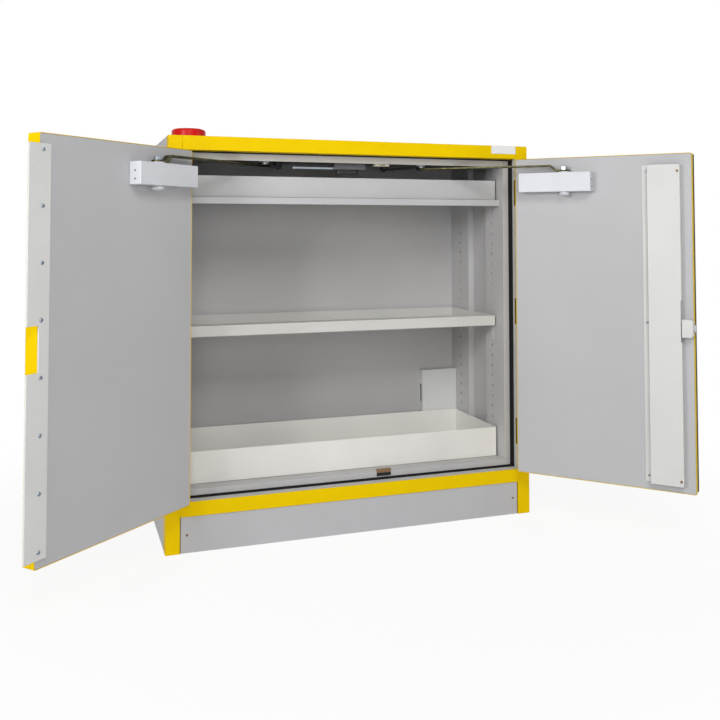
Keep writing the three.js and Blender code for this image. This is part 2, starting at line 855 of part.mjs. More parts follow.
// The strip laps over the gap between the doors, with a notch for the latch.
function centreStrip(side) {
  const face = clearance;
  const strip = doorBox(
    side, doorWidth - stripOnDoor, doorWidth + stripPastEdge, face, face + stripThickness,
    doorBottom + stripFootGap, doorTop - stripHeadGap,
  );
  const notch = doorBox(
    side, doorWidth + stripPastEdge - stripNotchWidth, doorWidth + stripPastEdge + overrun,
    face - overrun, face + stripThickness + overrun,
    doorMiddle - stripNotchHeight / 2, doorMiddle + stripNotchHeight / 2,
  );
  return cut(strip, notch);
}

// The cover's wall beside the latch is cut out, so that the latch can be fitted.
function lockCover(side) {
  const edge = doorWidth - coverSetback;
  const start = edge - coverWidth;
  const whole = joined(
    doorBox(side, start, edge, clearance, coverDepth, coverFoot, coverHead),
    doorBox(side, start - coverFlange, start + sheet, clearance, clearance + sheet, coverFoot, coverHead),
  );
  const inside = doorBox(
    side, start + sheet, edge - sheet, clearance - overrun, coverDepth - sheet,
    coverFoot - overrun, coverHead + overrun,
  );
  const window = doorBox(
    side, edge - sheet, edge + overrun, clearance - overrun, coverDepth + overrun,
    latchMiddle - housingHeight / 2 - coverWindowBelow, latchMiddle + housingHeight / 2 + coverWindowAbove,
  );
  return shapeOf(whole.subtract(joined(inside, window)));
}

function housingStart() {
  return doorWidth - coverSetback + clearance;
}

function latchHousing(side) {
  const edge = doorWidth;
  const start = housingStart();
  const low = latchMiddle - housingHeight / 2;
  const high = latchMiddle + housingHeight / 2;
  const body = prismAlongY(
    roundedRectangle(doorX(side, edge), doorX(side, start), low, high, housingCorner),
    doorY(clearance), doorY(housingDepth),
  );
  const square = doorBox(side, start, edge - housingCorner, clearance, housingDepth, low, high);
  const channel = doorBox(
    side, start + sheet, edge + overrun, boltStandOff - clearance, boltStandOff + boltDepth + clearance,
    latchMiddle - boltHeight / 2 - clearance, latchMiddle + boltHeight / 2 + clearance,
  );
  return shapeOf(joined(body, square).subtract(solid(channel)));
}

// The bolt stands out of the housing, and has room behind it to be pushed back flush.
function latchBolt(side) {
  const tail = housingStart() + sheet + clearance + boltReach;
  return doorBox(
    side, tail, doorWidth + boltReach, boltStandOff, boltStandOff + boltDepth,
    latchMiddle - boltHeight / 2, latchMiddle + boltHeight / 2,
  );
}

function lockRod(side, z0, z1) {
  return rodAlongZ(doorX(side, doorWidth - rodSetback), doorY(rodOffset), rodRadius, z0, z1, knuckleSides);
}

function doorHandle(side) {
  const x = doorX(side, doorWidth - handleSetback);
  const z = latchMiddle;
  const face = pinProud - clearance;
  const leverShape = armOutline(leverLength, leverHeight, leverHeight / 2);
  const leverFront = face - hubDepth - clearance;
  const lever = prismAlongY(leverShape, leverFront, leverFront + leverDepth).translate(x, 0, z);
  return join(
    rodAlongY(x, z, hubRadius, face - hubDepth, face, roundSides),
    lever,
    rodAlongY(x, z, spindleRadius, face - overrun, doorY(clearance * 2 + innerHubDepth / 2), knuckleSides),
    rodAlongY(x, z, innerHubRadius, doorY(clearance), doorY(clearance + innerHubDepth), roundSides),
  );
}

// Closer arms. The elbow is where the arm from the spindle meets the link from the pivot.

function spindleLocal(side) {
  return new THREE.Vector2(doorX(side, closerSpindleReach), doorY(closerSpindleOffset));
}

function spindlePlace(side, opening) {
  const hinge = new THREE.Vector2(side * (halfWidth - pinInset), pinY);
  return spindleLocal(side).rotateAround(new THREE.Vector2(), opening).add(hinge);
}

function pivotPlace(side) {
  return new THREE.Vector2(side * (halfWidth - pivotInset), frontY + pivotSetback);
}

// Both links are as long as the left one needs to be, with its door open and its elbow at its angle.
function linkReach() {
  const way = spindlePlace(-1, THREE.MathUtils.degToRad(-leftOpening)).distanceTo(pivotPlace(-1));
  const bend = THREE.MathUtils.degToRad(elbowAngle);
  return armLength * Math.cos(bend) + Math.sqrt(way ** 2 - (armLength * Math.sin(bend)) ** 2);
}

function elbowFor(side, spindle, pivot) {
  const toSpindle = spindle.clone().sub(pivot);
  const distance = toSpindle.length();
  const cosine = (linkLength ** 2 + distance ** 2 - armLength ** 2) / (2 * linkLength * distance);
  const angle = toSpindle.angle() - side * Math.acos(cosine);
  return pivot.clone().add(new THREE.Vector2(Math.cos(angle), Math.sin(angle)).multiplyScalar(linkLength));
}

function armLevels() {
  const hubBottom = closerBottom + closerHeight + bossHeight + clearance;
  const barBottom = hubBottom + armRise;
  const linkBottom = barBottom + armThickness + elbowGap;
  return { hubBottom, barBottom, linkBottom };
}

// The main arm lies along +x from its hub, and cranks up towards the ceiling.
function closerArm() {
  const { hubBottom, barBottom } = armLevels();
  const half = armWidth / 2;
  const rise = crankStart + crankRun;
  const side = outline([
    [0, hubBottom], [crankStart, hubBottom], [rise, barBottom], [armLength, barBottom],
    [armLength, barBottom + armThickness], [rise - armThickness / 2, barBottom + armThickness],
    [crankStart - armThickness / 2, hubBottom + armThickness], [0, hubBottom + armThickness],
  ]);
  const bar = extrude(side, armWidth).rotateX(Math.PI / 2).translate(0, half, 0);
  const hub = rodAlongZ(0, 0, armHubRadius, hubBottom, hubBottom + armThickness, roundSides);
  const end = rodAlongZ(armLength, 0, armEndRadius, barBottom, barBottom + armThickness, roundSides);
  const eyeRadius = closerSpindleRadius + clearance;
  const eyeTop = hubBottom + armThickness + overrun;
  const hole = rodAlongZ(0, 0, eyeRadius, hubBottom - overrun, eyeTop, knuckleSides);
  return shapeOf(joined(bar, hub, end).subtract(solid(hole)));
}

function closerLink() {
  const { linkBottom } = armLevels();
  const linkTop = linkBottom + linkThickness;
  const bar = prismAlongZ(armOutline(linkLength, linkWidth, linkBossRadius), linkBottom, linkTop);
  const disc = rodAlongZ(
    linkLength, 0, knuckleDiscRadius, linkBottom, linkTop + knuckleDiscHeight, roundSides,
  );
  const hole = rodAlongZ(
    0, 0, pivotPinRadius + clearance, linkBottom - overrun, linkTop + overrun, knuckleSides,
  );
  return shapeOf(joined(bar, disc).subtract(solid(hole)));
}

function pivotBracket(x, y) {
  const { linkBottom } = armLevels();
  const top = ceilingBottom - clearance;
  const bossBottom = linkBottom + linkThickness + clearance;
  return join(
    box(x - bracketLength / 2, x + bracketLength / 2, y - bracketWidth / 2, y + bracketWidth / 2,
      top - bracketThickness, top),
    rodAlongZ(x, y, bracketBossRadius, bossBottom, top - bracketThickness / 2, roundSides),
    rodAlongZ(x, y, pivotPinRadius, linkBottom - overrun, bossBottom + overrun, knuckleSides),
  );
}

function addLinkage(cabinet, door, side, word, opening) {
  const spindle = spindlePlace(side, opening);
  const pivot = pivotPlace(side);
  const elbow = elbowFor(side, spindle, pivot);
  const arm = new THREE.Group();
  arm.position.set(spindleLocal(side).x, spindleLocal(side).y, 0);
  arm.rotation.z = elbow.clone().sub(spindle).angle() - opening;
  add(arm, `${word}_closer_arm`, closerArm(), paint.passivated);
  door.add(arm);
  const link = new THREE.Group();
  link.position.set(pivot.x, pivot.y, 0);
  link.rotation.z = elbow.clone().sub(pivot).angle();
  add(link, `${word}_closer_link`, closerLink(), paint.steel);
  cabinet.add(link);
  add(cabinet, `${word}_closer_bracket`, pivotBracket(pivot.x, pivot.y), paint.steel);
}

function addDoor(cabinet, side, word, opening, hasHandle) {
  const door = new THREE.Group();
  door.position.set(side * (halfWidth - pinInset), pinY, 0);
  door.rotation.z = opening;
  add(door, `${word}_door_skin`, doorSkin(side, hasHandle), paint.yellow);
  add(door, `${word}_door_board`, doorBoard(side, hasHandle), paint.doorGrey);
  add(door, `${word}_closer_body`, closerBody(side), paint.white);
  addLinkage(cabinet, door, side, word, opening);
  cabinet.add(door);
  return door;
}

function addLeftDoor(cabinet) {
  const side = -1;
  const door = addDoor(cabinet, side, 'left', THREE.MathUtils.degToRad(-leftOpening), false);
  add(door, 'centre_strip', centreStrip(side), paint.lightGrey);
}

function addRightDoor(cabinet) {
  const side = 1;
  const door = addDoor(cabinet, side, 'right', THREE.MathUtils.degToRad(rightOpening), true);
  const upperTop = coverHead + rodReach;
  const lowerFoot = coverFoot + rodFootRise;
  const hubRoom = innerHubRadius + rodHubGap;
  add(door, 'lock_cover', lockCover(side), paint.lightGrey);
  add(door, 'latch_housing', latchHousing(side), paint.steel);
  add(door, 'latch_bolt', latchBolt(side), paint.steel);
  add(door, 'upper_lock_rod', lockRod(side, latchMiddle + hubRoom, upperTop), paint.steel);
  add(door, 'lower_lock_rod', lockRod(side, lowerFoot, latchMiddle - hubRoom), paint.steel);
  add(door, 'door_handle', doorHandle(side), paint.black);
}

function buildCabinet() {
  const cabinet = new THREE.Group();
  addStile(cabinet, -1, 'left_stile');
  addStile(cabinet, 1, 'right_stile');
  addTopRail(cabinet);
  addBottomRail(cabinet);
  addPlinth(cabinet);
  addCasing(cabinet);
  addInsulation(cabinet);
  addLining(cabinet);
  addUprights(cabinet);
  addDoorSeal(cabinet);
  addMainShelf(cabinet);
  addUpperShelf(cabinet);
  addUpperTray(cabinet);
  addLowerTray(cabinet);
  addShelfClips(cabinet);
  addVent(cabinet);
  addVentCover(cabinet);
  addStrikes(cabinet);
  addCoordinator(cabinet);
  addFrameHinges(cabinet);
  addLeftDoor(cabinet);
  addRightDoor(cabinet);
  return cabinet;
}

export default buildCabinet();
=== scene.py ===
"""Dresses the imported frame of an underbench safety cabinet, and sets its stage and camera."""

import json
import math
from functools import cache

import bmesh
import bpy
from bpy.props import FloatProperty, FloatVectorProperty, PointerProperty
from mathutils import Matrix, Vector


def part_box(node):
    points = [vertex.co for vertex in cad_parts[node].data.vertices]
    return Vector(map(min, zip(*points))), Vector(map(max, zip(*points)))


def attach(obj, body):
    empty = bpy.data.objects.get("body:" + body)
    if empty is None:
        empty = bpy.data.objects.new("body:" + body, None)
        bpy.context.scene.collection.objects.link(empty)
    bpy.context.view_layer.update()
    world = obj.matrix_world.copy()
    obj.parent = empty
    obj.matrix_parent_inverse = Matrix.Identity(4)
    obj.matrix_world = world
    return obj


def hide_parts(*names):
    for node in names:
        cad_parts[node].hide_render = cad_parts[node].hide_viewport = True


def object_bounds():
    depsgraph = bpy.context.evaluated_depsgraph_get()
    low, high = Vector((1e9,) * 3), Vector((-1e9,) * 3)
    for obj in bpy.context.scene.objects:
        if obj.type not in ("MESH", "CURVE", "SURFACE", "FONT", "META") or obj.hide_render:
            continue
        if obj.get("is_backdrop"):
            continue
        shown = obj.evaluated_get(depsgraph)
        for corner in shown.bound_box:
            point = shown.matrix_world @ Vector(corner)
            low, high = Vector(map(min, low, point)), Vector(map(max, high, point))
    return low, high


bl_info = {
    "name": "Underbench safety cabinet",
    "version": (1, 0, 0),
    "blender": (4, 5, 0),
    "location": "View3D > Sidebar > Cabinet",
    "description": "Builds the finished pieces of a safety cabinet around its packed frame",
    "category": "Object",
}

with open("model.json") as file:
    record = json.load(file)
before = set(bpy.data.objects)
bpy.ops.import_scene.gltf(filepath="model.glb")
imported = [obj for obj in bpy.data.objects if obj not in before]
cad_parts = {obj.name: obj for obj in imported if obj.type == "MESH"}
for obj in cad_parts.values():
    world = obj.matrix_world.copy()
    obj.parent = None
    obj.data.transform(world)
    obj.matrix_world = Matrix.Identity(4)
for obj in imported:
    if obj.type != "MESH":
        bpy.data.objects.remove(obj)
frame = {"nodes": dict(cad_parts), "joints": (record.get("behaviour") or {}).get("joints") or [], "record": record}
CAD_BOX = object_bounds()
JOINTS = {joint["name"]: joint for joint in frame["joints"]}
BODY_OF = {
    node: body for body, nodes in frame["record"]["behaviour"]["bodies"].items() for node in nodes
}
SLOT_OF = {row["node"]: row["material_slot"] for row in frame["record"]["subparts"]}

MM = 0.001
WELD = 0.002 * MM
SLICE_WELD = 0.02 * MM
FLAT = math.radians(0.5)
SMOOTH = math.radians(32)
LEFT = -1
RIGHT = 1
WORD = {LEFT: "left", RIGHT: "right"}
LEVELS = ("bottom", "middle", "top")


# Sizes and colours that a user may change


def length(title, text, default):
    """A size in metres, given in millimetres."""
    return FloatProperty(
        name=title, description=text, default=default * MM, min=0.0, precision=4,
        subtype="DISTANCE", unit="LENGTH",
    )


def colour(title, text, red, green, blue):
    """A colour as written, from 0 to 255."""
    return FloatVectorProperty(
        name=title, description=text, default=(red / 255, green / 255, blue / 255), size=3,
        min=0.0, max=1.0, subtype="COLOR_GAMMA",
    )


def power(title, text, default):
    """A lamp's power in watts."""
    return FloatProperty(name=title, description=text, default=default, min=0.0, unit="POWER")


class CabinetColours(bpy.types.PropertyGroup):
    """The colours of the cabinet's finishes."""

    yellow: colour("Yellow", "Powder coat of the frame and the door skins", 233, 197, 0)
    light_grey: colour("Light grey", "Powder coat of the casing and the plinth", 183, 183, 186)
    door_grey: colour("Door grey", "Facing of the door boards", 186, 186, 188)
    lining: colour("Lining", "Powder coat of the lining, its uprights and clips", 190, 189, 189)
    white: colour("White", "Powder coat of the centre strip and the lock's covers", 215, 215, 213)
    tray: colour("Tray", "Powder coat of the lower tray", 227, 226, 221)
    # Partly painted shade: a cool grey powder coat, made darker than the lower tray for the shade under the top
    # rail.
    upper_tray: colour("Upper tray", "Powder coat of the upper tray and its shelf, darker as painted shade", 185, 186, 188)
    shelf: colour("Shelf", "Powder coat of the main shelf", 204, 203, 199)
    heat_strip: colour("Heat strip", "Facing of the strips that swell in a fire", 196, 196, 194)
    lacquer: colour("Closer lacquer", "Lacquer of the closers and elbow caps", 214, 216, 221)
    zinc: colour("Zinc", "Bright plated steel", 170, 172, 174)
    passivated: colour("Passivated zinc", "Yellow passivated steel of the closer arms", 62, 60, 40)
    screw_steel: colour("Screw steel", "Bright screws, spindles and rail", 150, 158, 166)
    # Painted shade: the yellow as it looks in deep shadow, for the hinges in the stiles' gaps.
    hinge_bar: colour("Hinge bar", "Yellow as it looks in shadow, painted where the hinges sit", 112, 92, 14)
    dark: colour("Dark lacquer", "Lacquer of the coordinator, and painted shade on the ceiling brackets", 92, 92, 96)
    # On the ceiling brackets this dark colour is painted shade, for the shadow under the ceiling.
    brown: colour("Brown plate", "Tarnished plating of the floor strike", 134, 104, 76)
    rubber: colour("Rubber", "Door seal and gaskets", 26, 26, 28)
    black: colour("Black plastic", "Handle and coordinator lever", 20, 20, 21)
    red: colour("Red plastic", "Vent cap", 214, 14, 10)
    beige: colour("Beige plastic", "Top strike", 204, 196, 176)
    board: colour("Board", "Mineral fire board", 216, 210, 196)
    plate: colour("Blank plate", "Plate on the top rail, left blank", 232, 234, 236)


class CabinetSizes(bpy.types.PropertyGroup):
    """Small sizes that the frame's solids leave out."""

    door_lip: length("Door lip", "Width of the skin's edge round the door board", 1.2)
    door_corner: length("Door corner", "Radius of a door's corners, seen from the front", 3.5)
    door_fold: length("Door fold", "Radius of the folds round a door's outer face", 1.6)
    board_gap: length("Board gap", "Gap between a door board and the skin's edge", 0.25)
    sheet_edge: length("Sheet edge", "Rounding of folded sheet edges", 0.45)
    fine_edge: length("Fine edge", "Rounding of machined edges", 0.3)
    tray_fold: length("Tray fold", "Radius of the outer folds of trays and shelves", 2.0)
    tray_wall: length("Tray wall", "Sheet thickness of trays, shelves and uprights", 1.5)
    closer_edge: length("Closer edge", "Rounding of a closer's casing", 1.2)
    hole_radius: length("Hole radius", "Radius of the holes in the uprights", 2.6)
    hole_pitch: length("Hole pitch", "Distance between the holes in the uprights", 23.5)
    knuckle_radius: length("Knuckle radius", "Outer radius of the door hinges", 3.7)
    hinge_pin: length("Hinge pin", "Radius of the pins of the door hinges", 2.0)
    strip_screw: length("Strip screw", "Head radius of the screws of the centre strip", 3.7)
    cover_screw: length("Cover screw", "Head radius of the screws of the lock cover", 2.6)
    panel_screw: length("Panel screw", "Head radius of the screws of plinth and casing", 2.5)
    closer_screw: length("Closer screw", "Head radius of the screws in a closer's ends", 1.8)
    plate_width: length("Plate width", "Width of the blank plate on the top rail", 60.8)
    plate_height: length("Plate height", "Height of the blank plate on the top rail", 17.5)


class CabinetStage(bpy.types.PropertyGroup):
    """The stage's lamps and the camera."""

    key_power: power("Key lamp", "Power of the lamp above the camera", 24.0)
    front_power: power("Front lamp", "Power of the low lamp in front", 20.0)
    left_power: power("Left lamp", "Power of the lamp at the left", 20.0)
    right_power: power("Right lamp", "Power of the lamp at the right", 6.0)
    rear_power: power("Rear lamp", "Power of the lamp behind the cabinet", 30.0)
    fill: FloatProperty(
        name="Fill", description="Strength of the room's light on the cabinet", default=0.12,
        min=0.0,
    )
    lens: FloatProperty(
        name="Focal length", description="Focal length of the camera on a 36 mm frame",
        default=43.5024, min=1.0, subtype="DISTANCE_CAMERA",
    )
    lens_shift: FloatProperty(
        name="Lens shift", description="Upward shift of the lens, in frame widths",
        default=-0.228534,
    )
    floor_colour: colour("Floor", "Colour of the floor", 244, 244, 244)


def colours():
    return bpy.context.scene.cabinet_colours


def sizes():
    return bpy.context.scene.cabinet_sizes


# Finishes


def linear(written, factor=1.0):
    """The colour that a shader takes for a written one, times a factor."""
    plain = [c / 12.92 if c <= 0.04045 else ((c + 0.055) / 1.055) ** 2.4 for c in written]
    return [*(min(1.0, c * factor) for c in plain), 1.0]


def shades(written, spread):
    """A colour's darker and lighter neighbour."""
    return linear(written, 1 - spread), linear(written, 1 + spread)


class NodeWork:
    """A node tree under construction."""

    def __init__(self, tree):
        self.tree = tree

    def put(self, socket, value):
        """Links another node's socket to an input, or gives it a plain value."""
        if isinstance(value, bpy.types.NodeSocket):
            self.tree.links.new(value, socket)
        else:
            socket.default_value = value

    def node(self, kind, inputs=None, **settings):
        """Adds a node. Its inputs are other nodes' sockets or plain values, by name or number."""
        made = self.tree.nodes.new(kind)
        for key, value in settings.items():
            setattr(made, key, value)
        for key, value in (inputs or {}).items():
            self.put(made.inputs[key], value)
        return made

    def out(self, kind, output, inputs=None, **settings):
        """Adds a node and gives one of its outputs."""
        return self.node(kind, inputs, **settings).outputs[output]

    def shown(self):
        """One for rays from the camera and for rays in gloss and glass, else nought."""
        path = self.node("ShaderNodeLightPath").outputs
        ray = path["Is Camera Ray"]
        for other in ("Is Glossy Ray", "Is Transmission Ray"):
            ray = self.out("ShaderNodeMath", "Value", {0: ray, 1: path[other]}, operation="MAXIMUM")
        return ray


class Finish(NodeWork):
    """A material on Object coordinates under construction."""

    def __init__(self, name):
        self.material = bpy.data.materials.new(name)
        self.material.use_nodes = True
        super().__init__(self.material.node_tree)
        self.shader = self.tree.nodes["Principled BSDF"]
        self.place = self.out("ShaderNodeTexCoord", "Object")

    def noise(self, period, detail=2.0, stretch=(1, 1, 1)):
        """Even noise of about that period in millimetres, stretched along the axes."""
        place = self.out("ShaderNodeMapping", "Vector", {"Vector": self.place, "Scale": stretch})
        inputs = {"Vector": place, "Scale": 1 / (period * MM), "Detail": detail}
        return self.out("ShaderNodeTexNoise", "Fac", inputs)

    def spread(self, value, low, high, start=0.3, end=0.7):
        """Maps a noise's middle range onto low to high."""
        ends = {"Value": value, "From Min": start, "From Max": end, "To Min": low, "To Max": high}
        return self.out("ShaderNodeMapRange", "Result", ends)

    def mix(self, factor, first, second):
        """A colour between two others."""
        inputs = {0: factor, 6: first, 7: second}
        return self.out("ShaderNodeMix", 2, inputs, data_type="RGBA")

    def bump(self, height, depth, strength=1.0, under=None):
        """Relief of that depth in millimetres, on top of another relief if one is given."""
        inputs = {"Height": height, "Distance": depth * MM, "Strength": strength}
        if under is not None:
            inputs["Normal"] = under
        return self.out("ShaderNodeBump", "Normal", inputs)

    def give(self, **values):
        """Gives the shader its inputs, and returns the material."""
        for key, value in values.items():
            self.put(self.shader.inputs[key.replace("_", " ")], value)
        return self.material


def powder_coat(name, written, gloss=0.42, peel=0.02, shine=0.3):
    """Satin powder coat: a slight cloudiness, an orange-peel skin and an uneven gloss."""
    work = Finish(name)
    dark, light = shades(written, 0.035)
    cloudy = work.mix(work.spread(work.noise(160, 3.0), 0, 1), dark, light)
    specks = work.spread(work.noise(1.1, 1.0), 0, 0.16, 0.62, 0.8)
    wave = work.bump(work.noise(90, 1.0), 0.25, 0.3)
    return work.give(
        Base_Color=work.mix(specks, cloudy, dark),
        Roughness=work.spread(work.noise(30, 3.0), gloss - 0.05, gloss + 0.06),
        Normal=work.bump(work.noise(2.6, 1.5), peel, 1.0, wave),
        Specular_IOR_Level=shine,
    )


def facing(name, written):
    """The smooth melamine facing of the door boards."""
    work = Finish(name)
    dark, light = shades(written, 0.03)
    cloudy = work.mix(work.spread(work.noise(220, 3.0), 0, 1), dark, light)
    dust = work.spread(work.noise(0.8, 1.0), 0, 0.14, 0.6, 0.8)
    return work.give(
        Base_Color=work.mix(dust, cloudy, light),
        Roughness=work.spread(work.noise(50, 4.0), 0.44, 0.54),
        Normal=work.bump(work.noise(1.8, 2.0), 0.012),
        Specular_IOR_Level=0.36,
    )


def plated(name, written, gloss, second=None):
    """Plated steel: fine drawn grain, a patchy colour and an uneven gloss."""
    work = Finish(name)
    dark, light = shades(written, 0.12)
    if second is not None:
        light = linear(second)
    grain = work.noise(0.9, 2.0)
    patchy = work.mix(work.spread(work.noise(14, 3.0), 0, 1, 0.35, 0.65), dark, light)
    return work.give(
        Base_Color=work.mix(work.spread(grain, 0, 0.3), patchy, dark),
        Roughness=work.spread(work.noise(6, 3.0), gloss - 0.07, gloss + 0.1),
        Normal=work.bump(grain, 0.015, 0.7),
        Metallic=1.0,
    )


def moulded(name, written, gloss, grain_depth=0.03, shine=0.5):
    """Moulded plastic or rubber with a fine spark grain."""
    work = Finish(name)
    dark, light = shades(written, 0.07)
    return work.give(
        Base_Color=work.mix(work.spread(work.noise(20, 3.0), 0, 1), dark, light),
        Roughness=work.spread(work.noise(4, 2.0), gloss - 0.05, gloss + 0.07),
        Normal=work.bump(work.noise(0.7, 2.0), grain_depth, 0.8),
        Specular_IOR_Level=shine,
    )


def tarnished(name, written, dark_below):
    """Tarnished brown plating with specks, black below a height."""
    work = Finish(name)
    dark, light = shades(written, 0.25)
    specks = work.noise(1.6, 3.0)
    brown = work.mix(work.spread(specks, 0, 1, 0.4, 0.6), dark, light)
    height = work.out("ShaderNodeSeparateXYZ", "Z", {"Vector": work.place})
    above = work.spread(height, 0, 1, dark_below - 0.4 * MM, dark_below + 0.4 * MM)
    return work.give(
        Base_Color=work.mix(above, linear(colours().rubber), brown),
        Roughness=work.spread(specks, 0.42, 0.62),
        Normal=work.bump(specks, 0.05, 0.8),
        Metallic=0.35,
    )


def fire_board(name, written):
    """Cut mineral board: matt, with fibres and pores."""
    work = Finish(name)
    dark, light = shades(written, 0.1)
    fibres = work.noise(4, 5.0, (1, 1, 4))
    return work.give(
        Base_Color=work.mix(work.spread(fibres, 0, 1), dark, light),
        Roughness=work.spread(work.noise(10, 2.0), 0.86, 0.96),
        Normal=work.bump(fibres, 0.2, 0.8),
    )


STRIKE_DARK_BELOW = 111.2 * MM
FINISHES = {
    "yellow_paint": (powder_coat, "Yellow powder coat", "yellow", 0.45, 0.02, 0.05),
    "grey_paint": (powder_coat, "Light grey powder coat", "light_grey", 0.45, 0.018),
    "door_face": (facing, "Grey door facing", "door_grey"),
    "lining_paint": (powder_coat, "Lining powder coat", "lining", 0.48),
    "white_paint": (powder_coat, "White powder coat", "white", 0.46, 0.018),
    "tray_paint": (powder_coat, "Tray powder coat", "tray", 0.46, 0.018),
    "upper_tray_shaded_paint": (powder_coat, "Upper tray powder coat", "upper_tray", 0.46, 0.018),
    "shelf_paint": (powder_coat, "Shelf powder coat", "shelf", 0.46, 0.018),
    "heat_strip": (powder_coat, "Heat strip", "heat_strip", 0.6, 0.03),
    "hinge_bar": (powder_coat, "Hinge bar", "hinge_bar", 0.5, 0.02, 0.1),
    "closer_housing": (powder_coat, "Closer lacquer", "lacquer", 0.34, 0.01),
    "plated_steel": (plated, "Bright zinc", "zinc", 0.34),
    "passivated_steel": (plated, "Yellow passivated zinc", "passivated", 0.38, (0.37, 0.36, 0.25)),
    "dark_metal": (powder_coat, "Dark lacquer", "dark", 0.4),
    "insulation": (fire_board, "Mineral board", "board"),
    "seal_rubber": (moulded, "Seal rubber", "rubber", 0.72, 0.05, 0.25),
    "black_plastic": (moulded, "Black plastic", "black", 0.45, 0.03, 0.4),
    "red_plastic": (moulded, "Red plastic", "red", 0.33, 0.012, 0.2),
    "beige_plastic": (moulded, "Beige plastic", "beige", 0.5),
    "brown_plate": (tarnished, "Tarnished plate", "brown", STRIKE_DARK_BELOW),
    "screw_steel": (plated, "Screw steel", "screw_steel", 0.2),
    "brown_screw": (plated, "Brown screw", "brown", 0.4),
    "dark_screw": (plated, "Dark screw", "dark", 0.4),
    "blank_plate": (powder_coat, "Blank plate", "plate", 0.3, 0.006),
}


@cache
def finish(name):
    """The material of a slot, or of one of the small finishes, made when it is first asked for."""
    maker, title, colour_name, *options = FINISHES[name]
    return maker(title, getattr(colours(), colour_name), *options)


# Making pieces


def new_object(name, data):
    """An object in the scene with that mesh, lamp or camera."""
    made = bpy.data.objects.new(name, data)
    bpy.context.scene.collection.objects.link(made)
    return made


def modify(piece, title, kind, **settings):
    """Adds a modifier with those settings."""
    step = piece.modifiers.new(title, kind)
    for key, value in settings.items():
        setattr(step, key, value)
    return step


def settle(piece):
    """Replaces a piece's mesh by the one that its modifiers give, and clears them."""
    bpy.context.view_layer.update()
    graph = bpy.context.evaluated_depsgraph_get()
    plain = bpy.data.meshes.new_from_object(
        piece.evaluated_get(graph), preserve_all_data_layers=True, depsgraph=graph,
    )
    piece.modifiers.clear()
    before = piece.data
    piece.data = plain
    bpy.data.meshes.remove(before)
    plain.name = piece.name


def soften(piece, edge, segments=2):
    """Rounds a piece's sharp edges and makes its flat faces shade flat."""
    piece.data.shade_smooth()
    if edge > 0:
        modify(
            piece, "Rounded edges", "BEVEL", width=edge, segments=segments, limit_method="ANGLE",
            angle_limit=SMOOTH, miter_outer="MITER_ARC", harden_normals=True,
        )
    modify(piece, "Flat faces", "WEIGHTED_NORMAL", keep_sharp=True, weight=80)
    settle(piece)


def smooth(piece, edge=0.0):
    """Marks the sharp edges of a form made here, and softens it."""
    piece.data.set_sharp_from_angle(angle=SMOOTH)
    soften(piece, edge)


def hand_over(piece, body, slot, nodes=(), paint=None):
    """Gives a piece its finish, from its paint or else its slot, and its body, and hides the solids that it stands
    for.
    """
    piece.data.materials.clear()
    piece.data.materials.append(finish(paint or slot))
    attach(piece, body)
    if nodes:
        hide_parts(*nodes)


def shell_of(mesh):
    """A mesh under construction that starts as a copy of another."""
    shell = bmesh.new()
    shell.from_mesh(mesh)
    return shell


def close_up(shell, weld=WELD):
    """Merges a shell's points that lie together, and turns its faces outwards."""
    bmesh.ops.remove_doubles(shell, verts=shell.verts, dist=weld)
    bmesh.ops.recalc_face_normals(shell, faces=shell.faces)


def plain_object(name, shell):
    """Makes a mesh under construction an object."""
    mesh = bpy.data.meshes.new(name)
    shell.to_mesh(mesh)
    shell.free()
    return new_object(name, mesh)


def object_of(name, shell):
    """Closes a mesh under construction and makes it an object."""
    close_up(shell)
    return plain_object(name, shell)


def make(name, shell, *nodes, edge=0.0, body=None, slot=None, paint=None):
    """Finishes a form as the piece that stands for its solids."""
    piece = object_of(name, shell)
    smooth(piece, edge)
    hand_over(piece, body or BODY_OF[nodes[0]], slot or SLOT_OF[nodes[0]], nodes, paint)


def dress(*nodes, edge=None, paint=None, segments=2):
    """Puts a welded copy with rounded edges in the place of each solid, and returns the last."""
    for node in nodes:
        shell = shell_of(frame["nodes"][node].data)
        bmesh.ops.remove_doubles(shell, verts=shell.verts, dist=WELD)
        bmesh.ops.dissolve_limit(shell, angle_limit=FLAT, verts=shell.verts, edges=shell.edges)
        piece = plain_object(f"{node}_finished", shell)
        soften(piece, sizes().sheet_edge if edge is None else edge, segments)
        hand_over(piece, BODY_OF[node], SLOT_OF[node], (node,), paint)
    return piece


def paint_solid(node):
    """Gives a solid that stays as it is its finish."""
    solid = frame["nodes"][node]
    solid.data.materials.clear()
    solid.data.materials.append(finish(SLOT_OF[node]))


def drill(piece, shell):
    """Cuts a closed form out of a piece."""
    tool = object_of("drill", shell)
    modify(piece, "Hole", "BOOLEAN", operation="DIFFERENCE", solver="EXACT", object=tool)
    settle(piece)
    bpy.data.objects.remove(tool)


# Forms, which are added to a shell

LARGE_ROUND = 64
MIDDLE_ROUND = 48
SMALL_ROUND = 32
HEXAGON = 6


def points_at(shell, places):
    """A new point of the shell at each place."""
    return [shell.verts.new(place) for place in places]


def face(shell, places):
    """One flat face through some places."""
    shell.faces.new(points_at(shell, places))


def band(shell, first, second):
    """Faces between two equal rings of points."""
    for index, point in enumerate(first):
        after = (index + 1) % len(first)
        shell.faces.new((point, first[after], second[after], second[index]))


def loft(shell, rings, place=Matrix(), closed=False):
    """Skins a run of equal rings, and caps its two ends or joins them."""
    rows = [points_at(shell, [place @ Vector(point) for point in ring]) for ring in rings]
    for row, following in zip(rows, rows[1:] + rows[:1] if closed else rows[1:]):
        band(shell, row, following)
    if not closed:
        shell.faces.new(rows[0][::-1])
        shell.faces.new(rows[-1])
    return shell


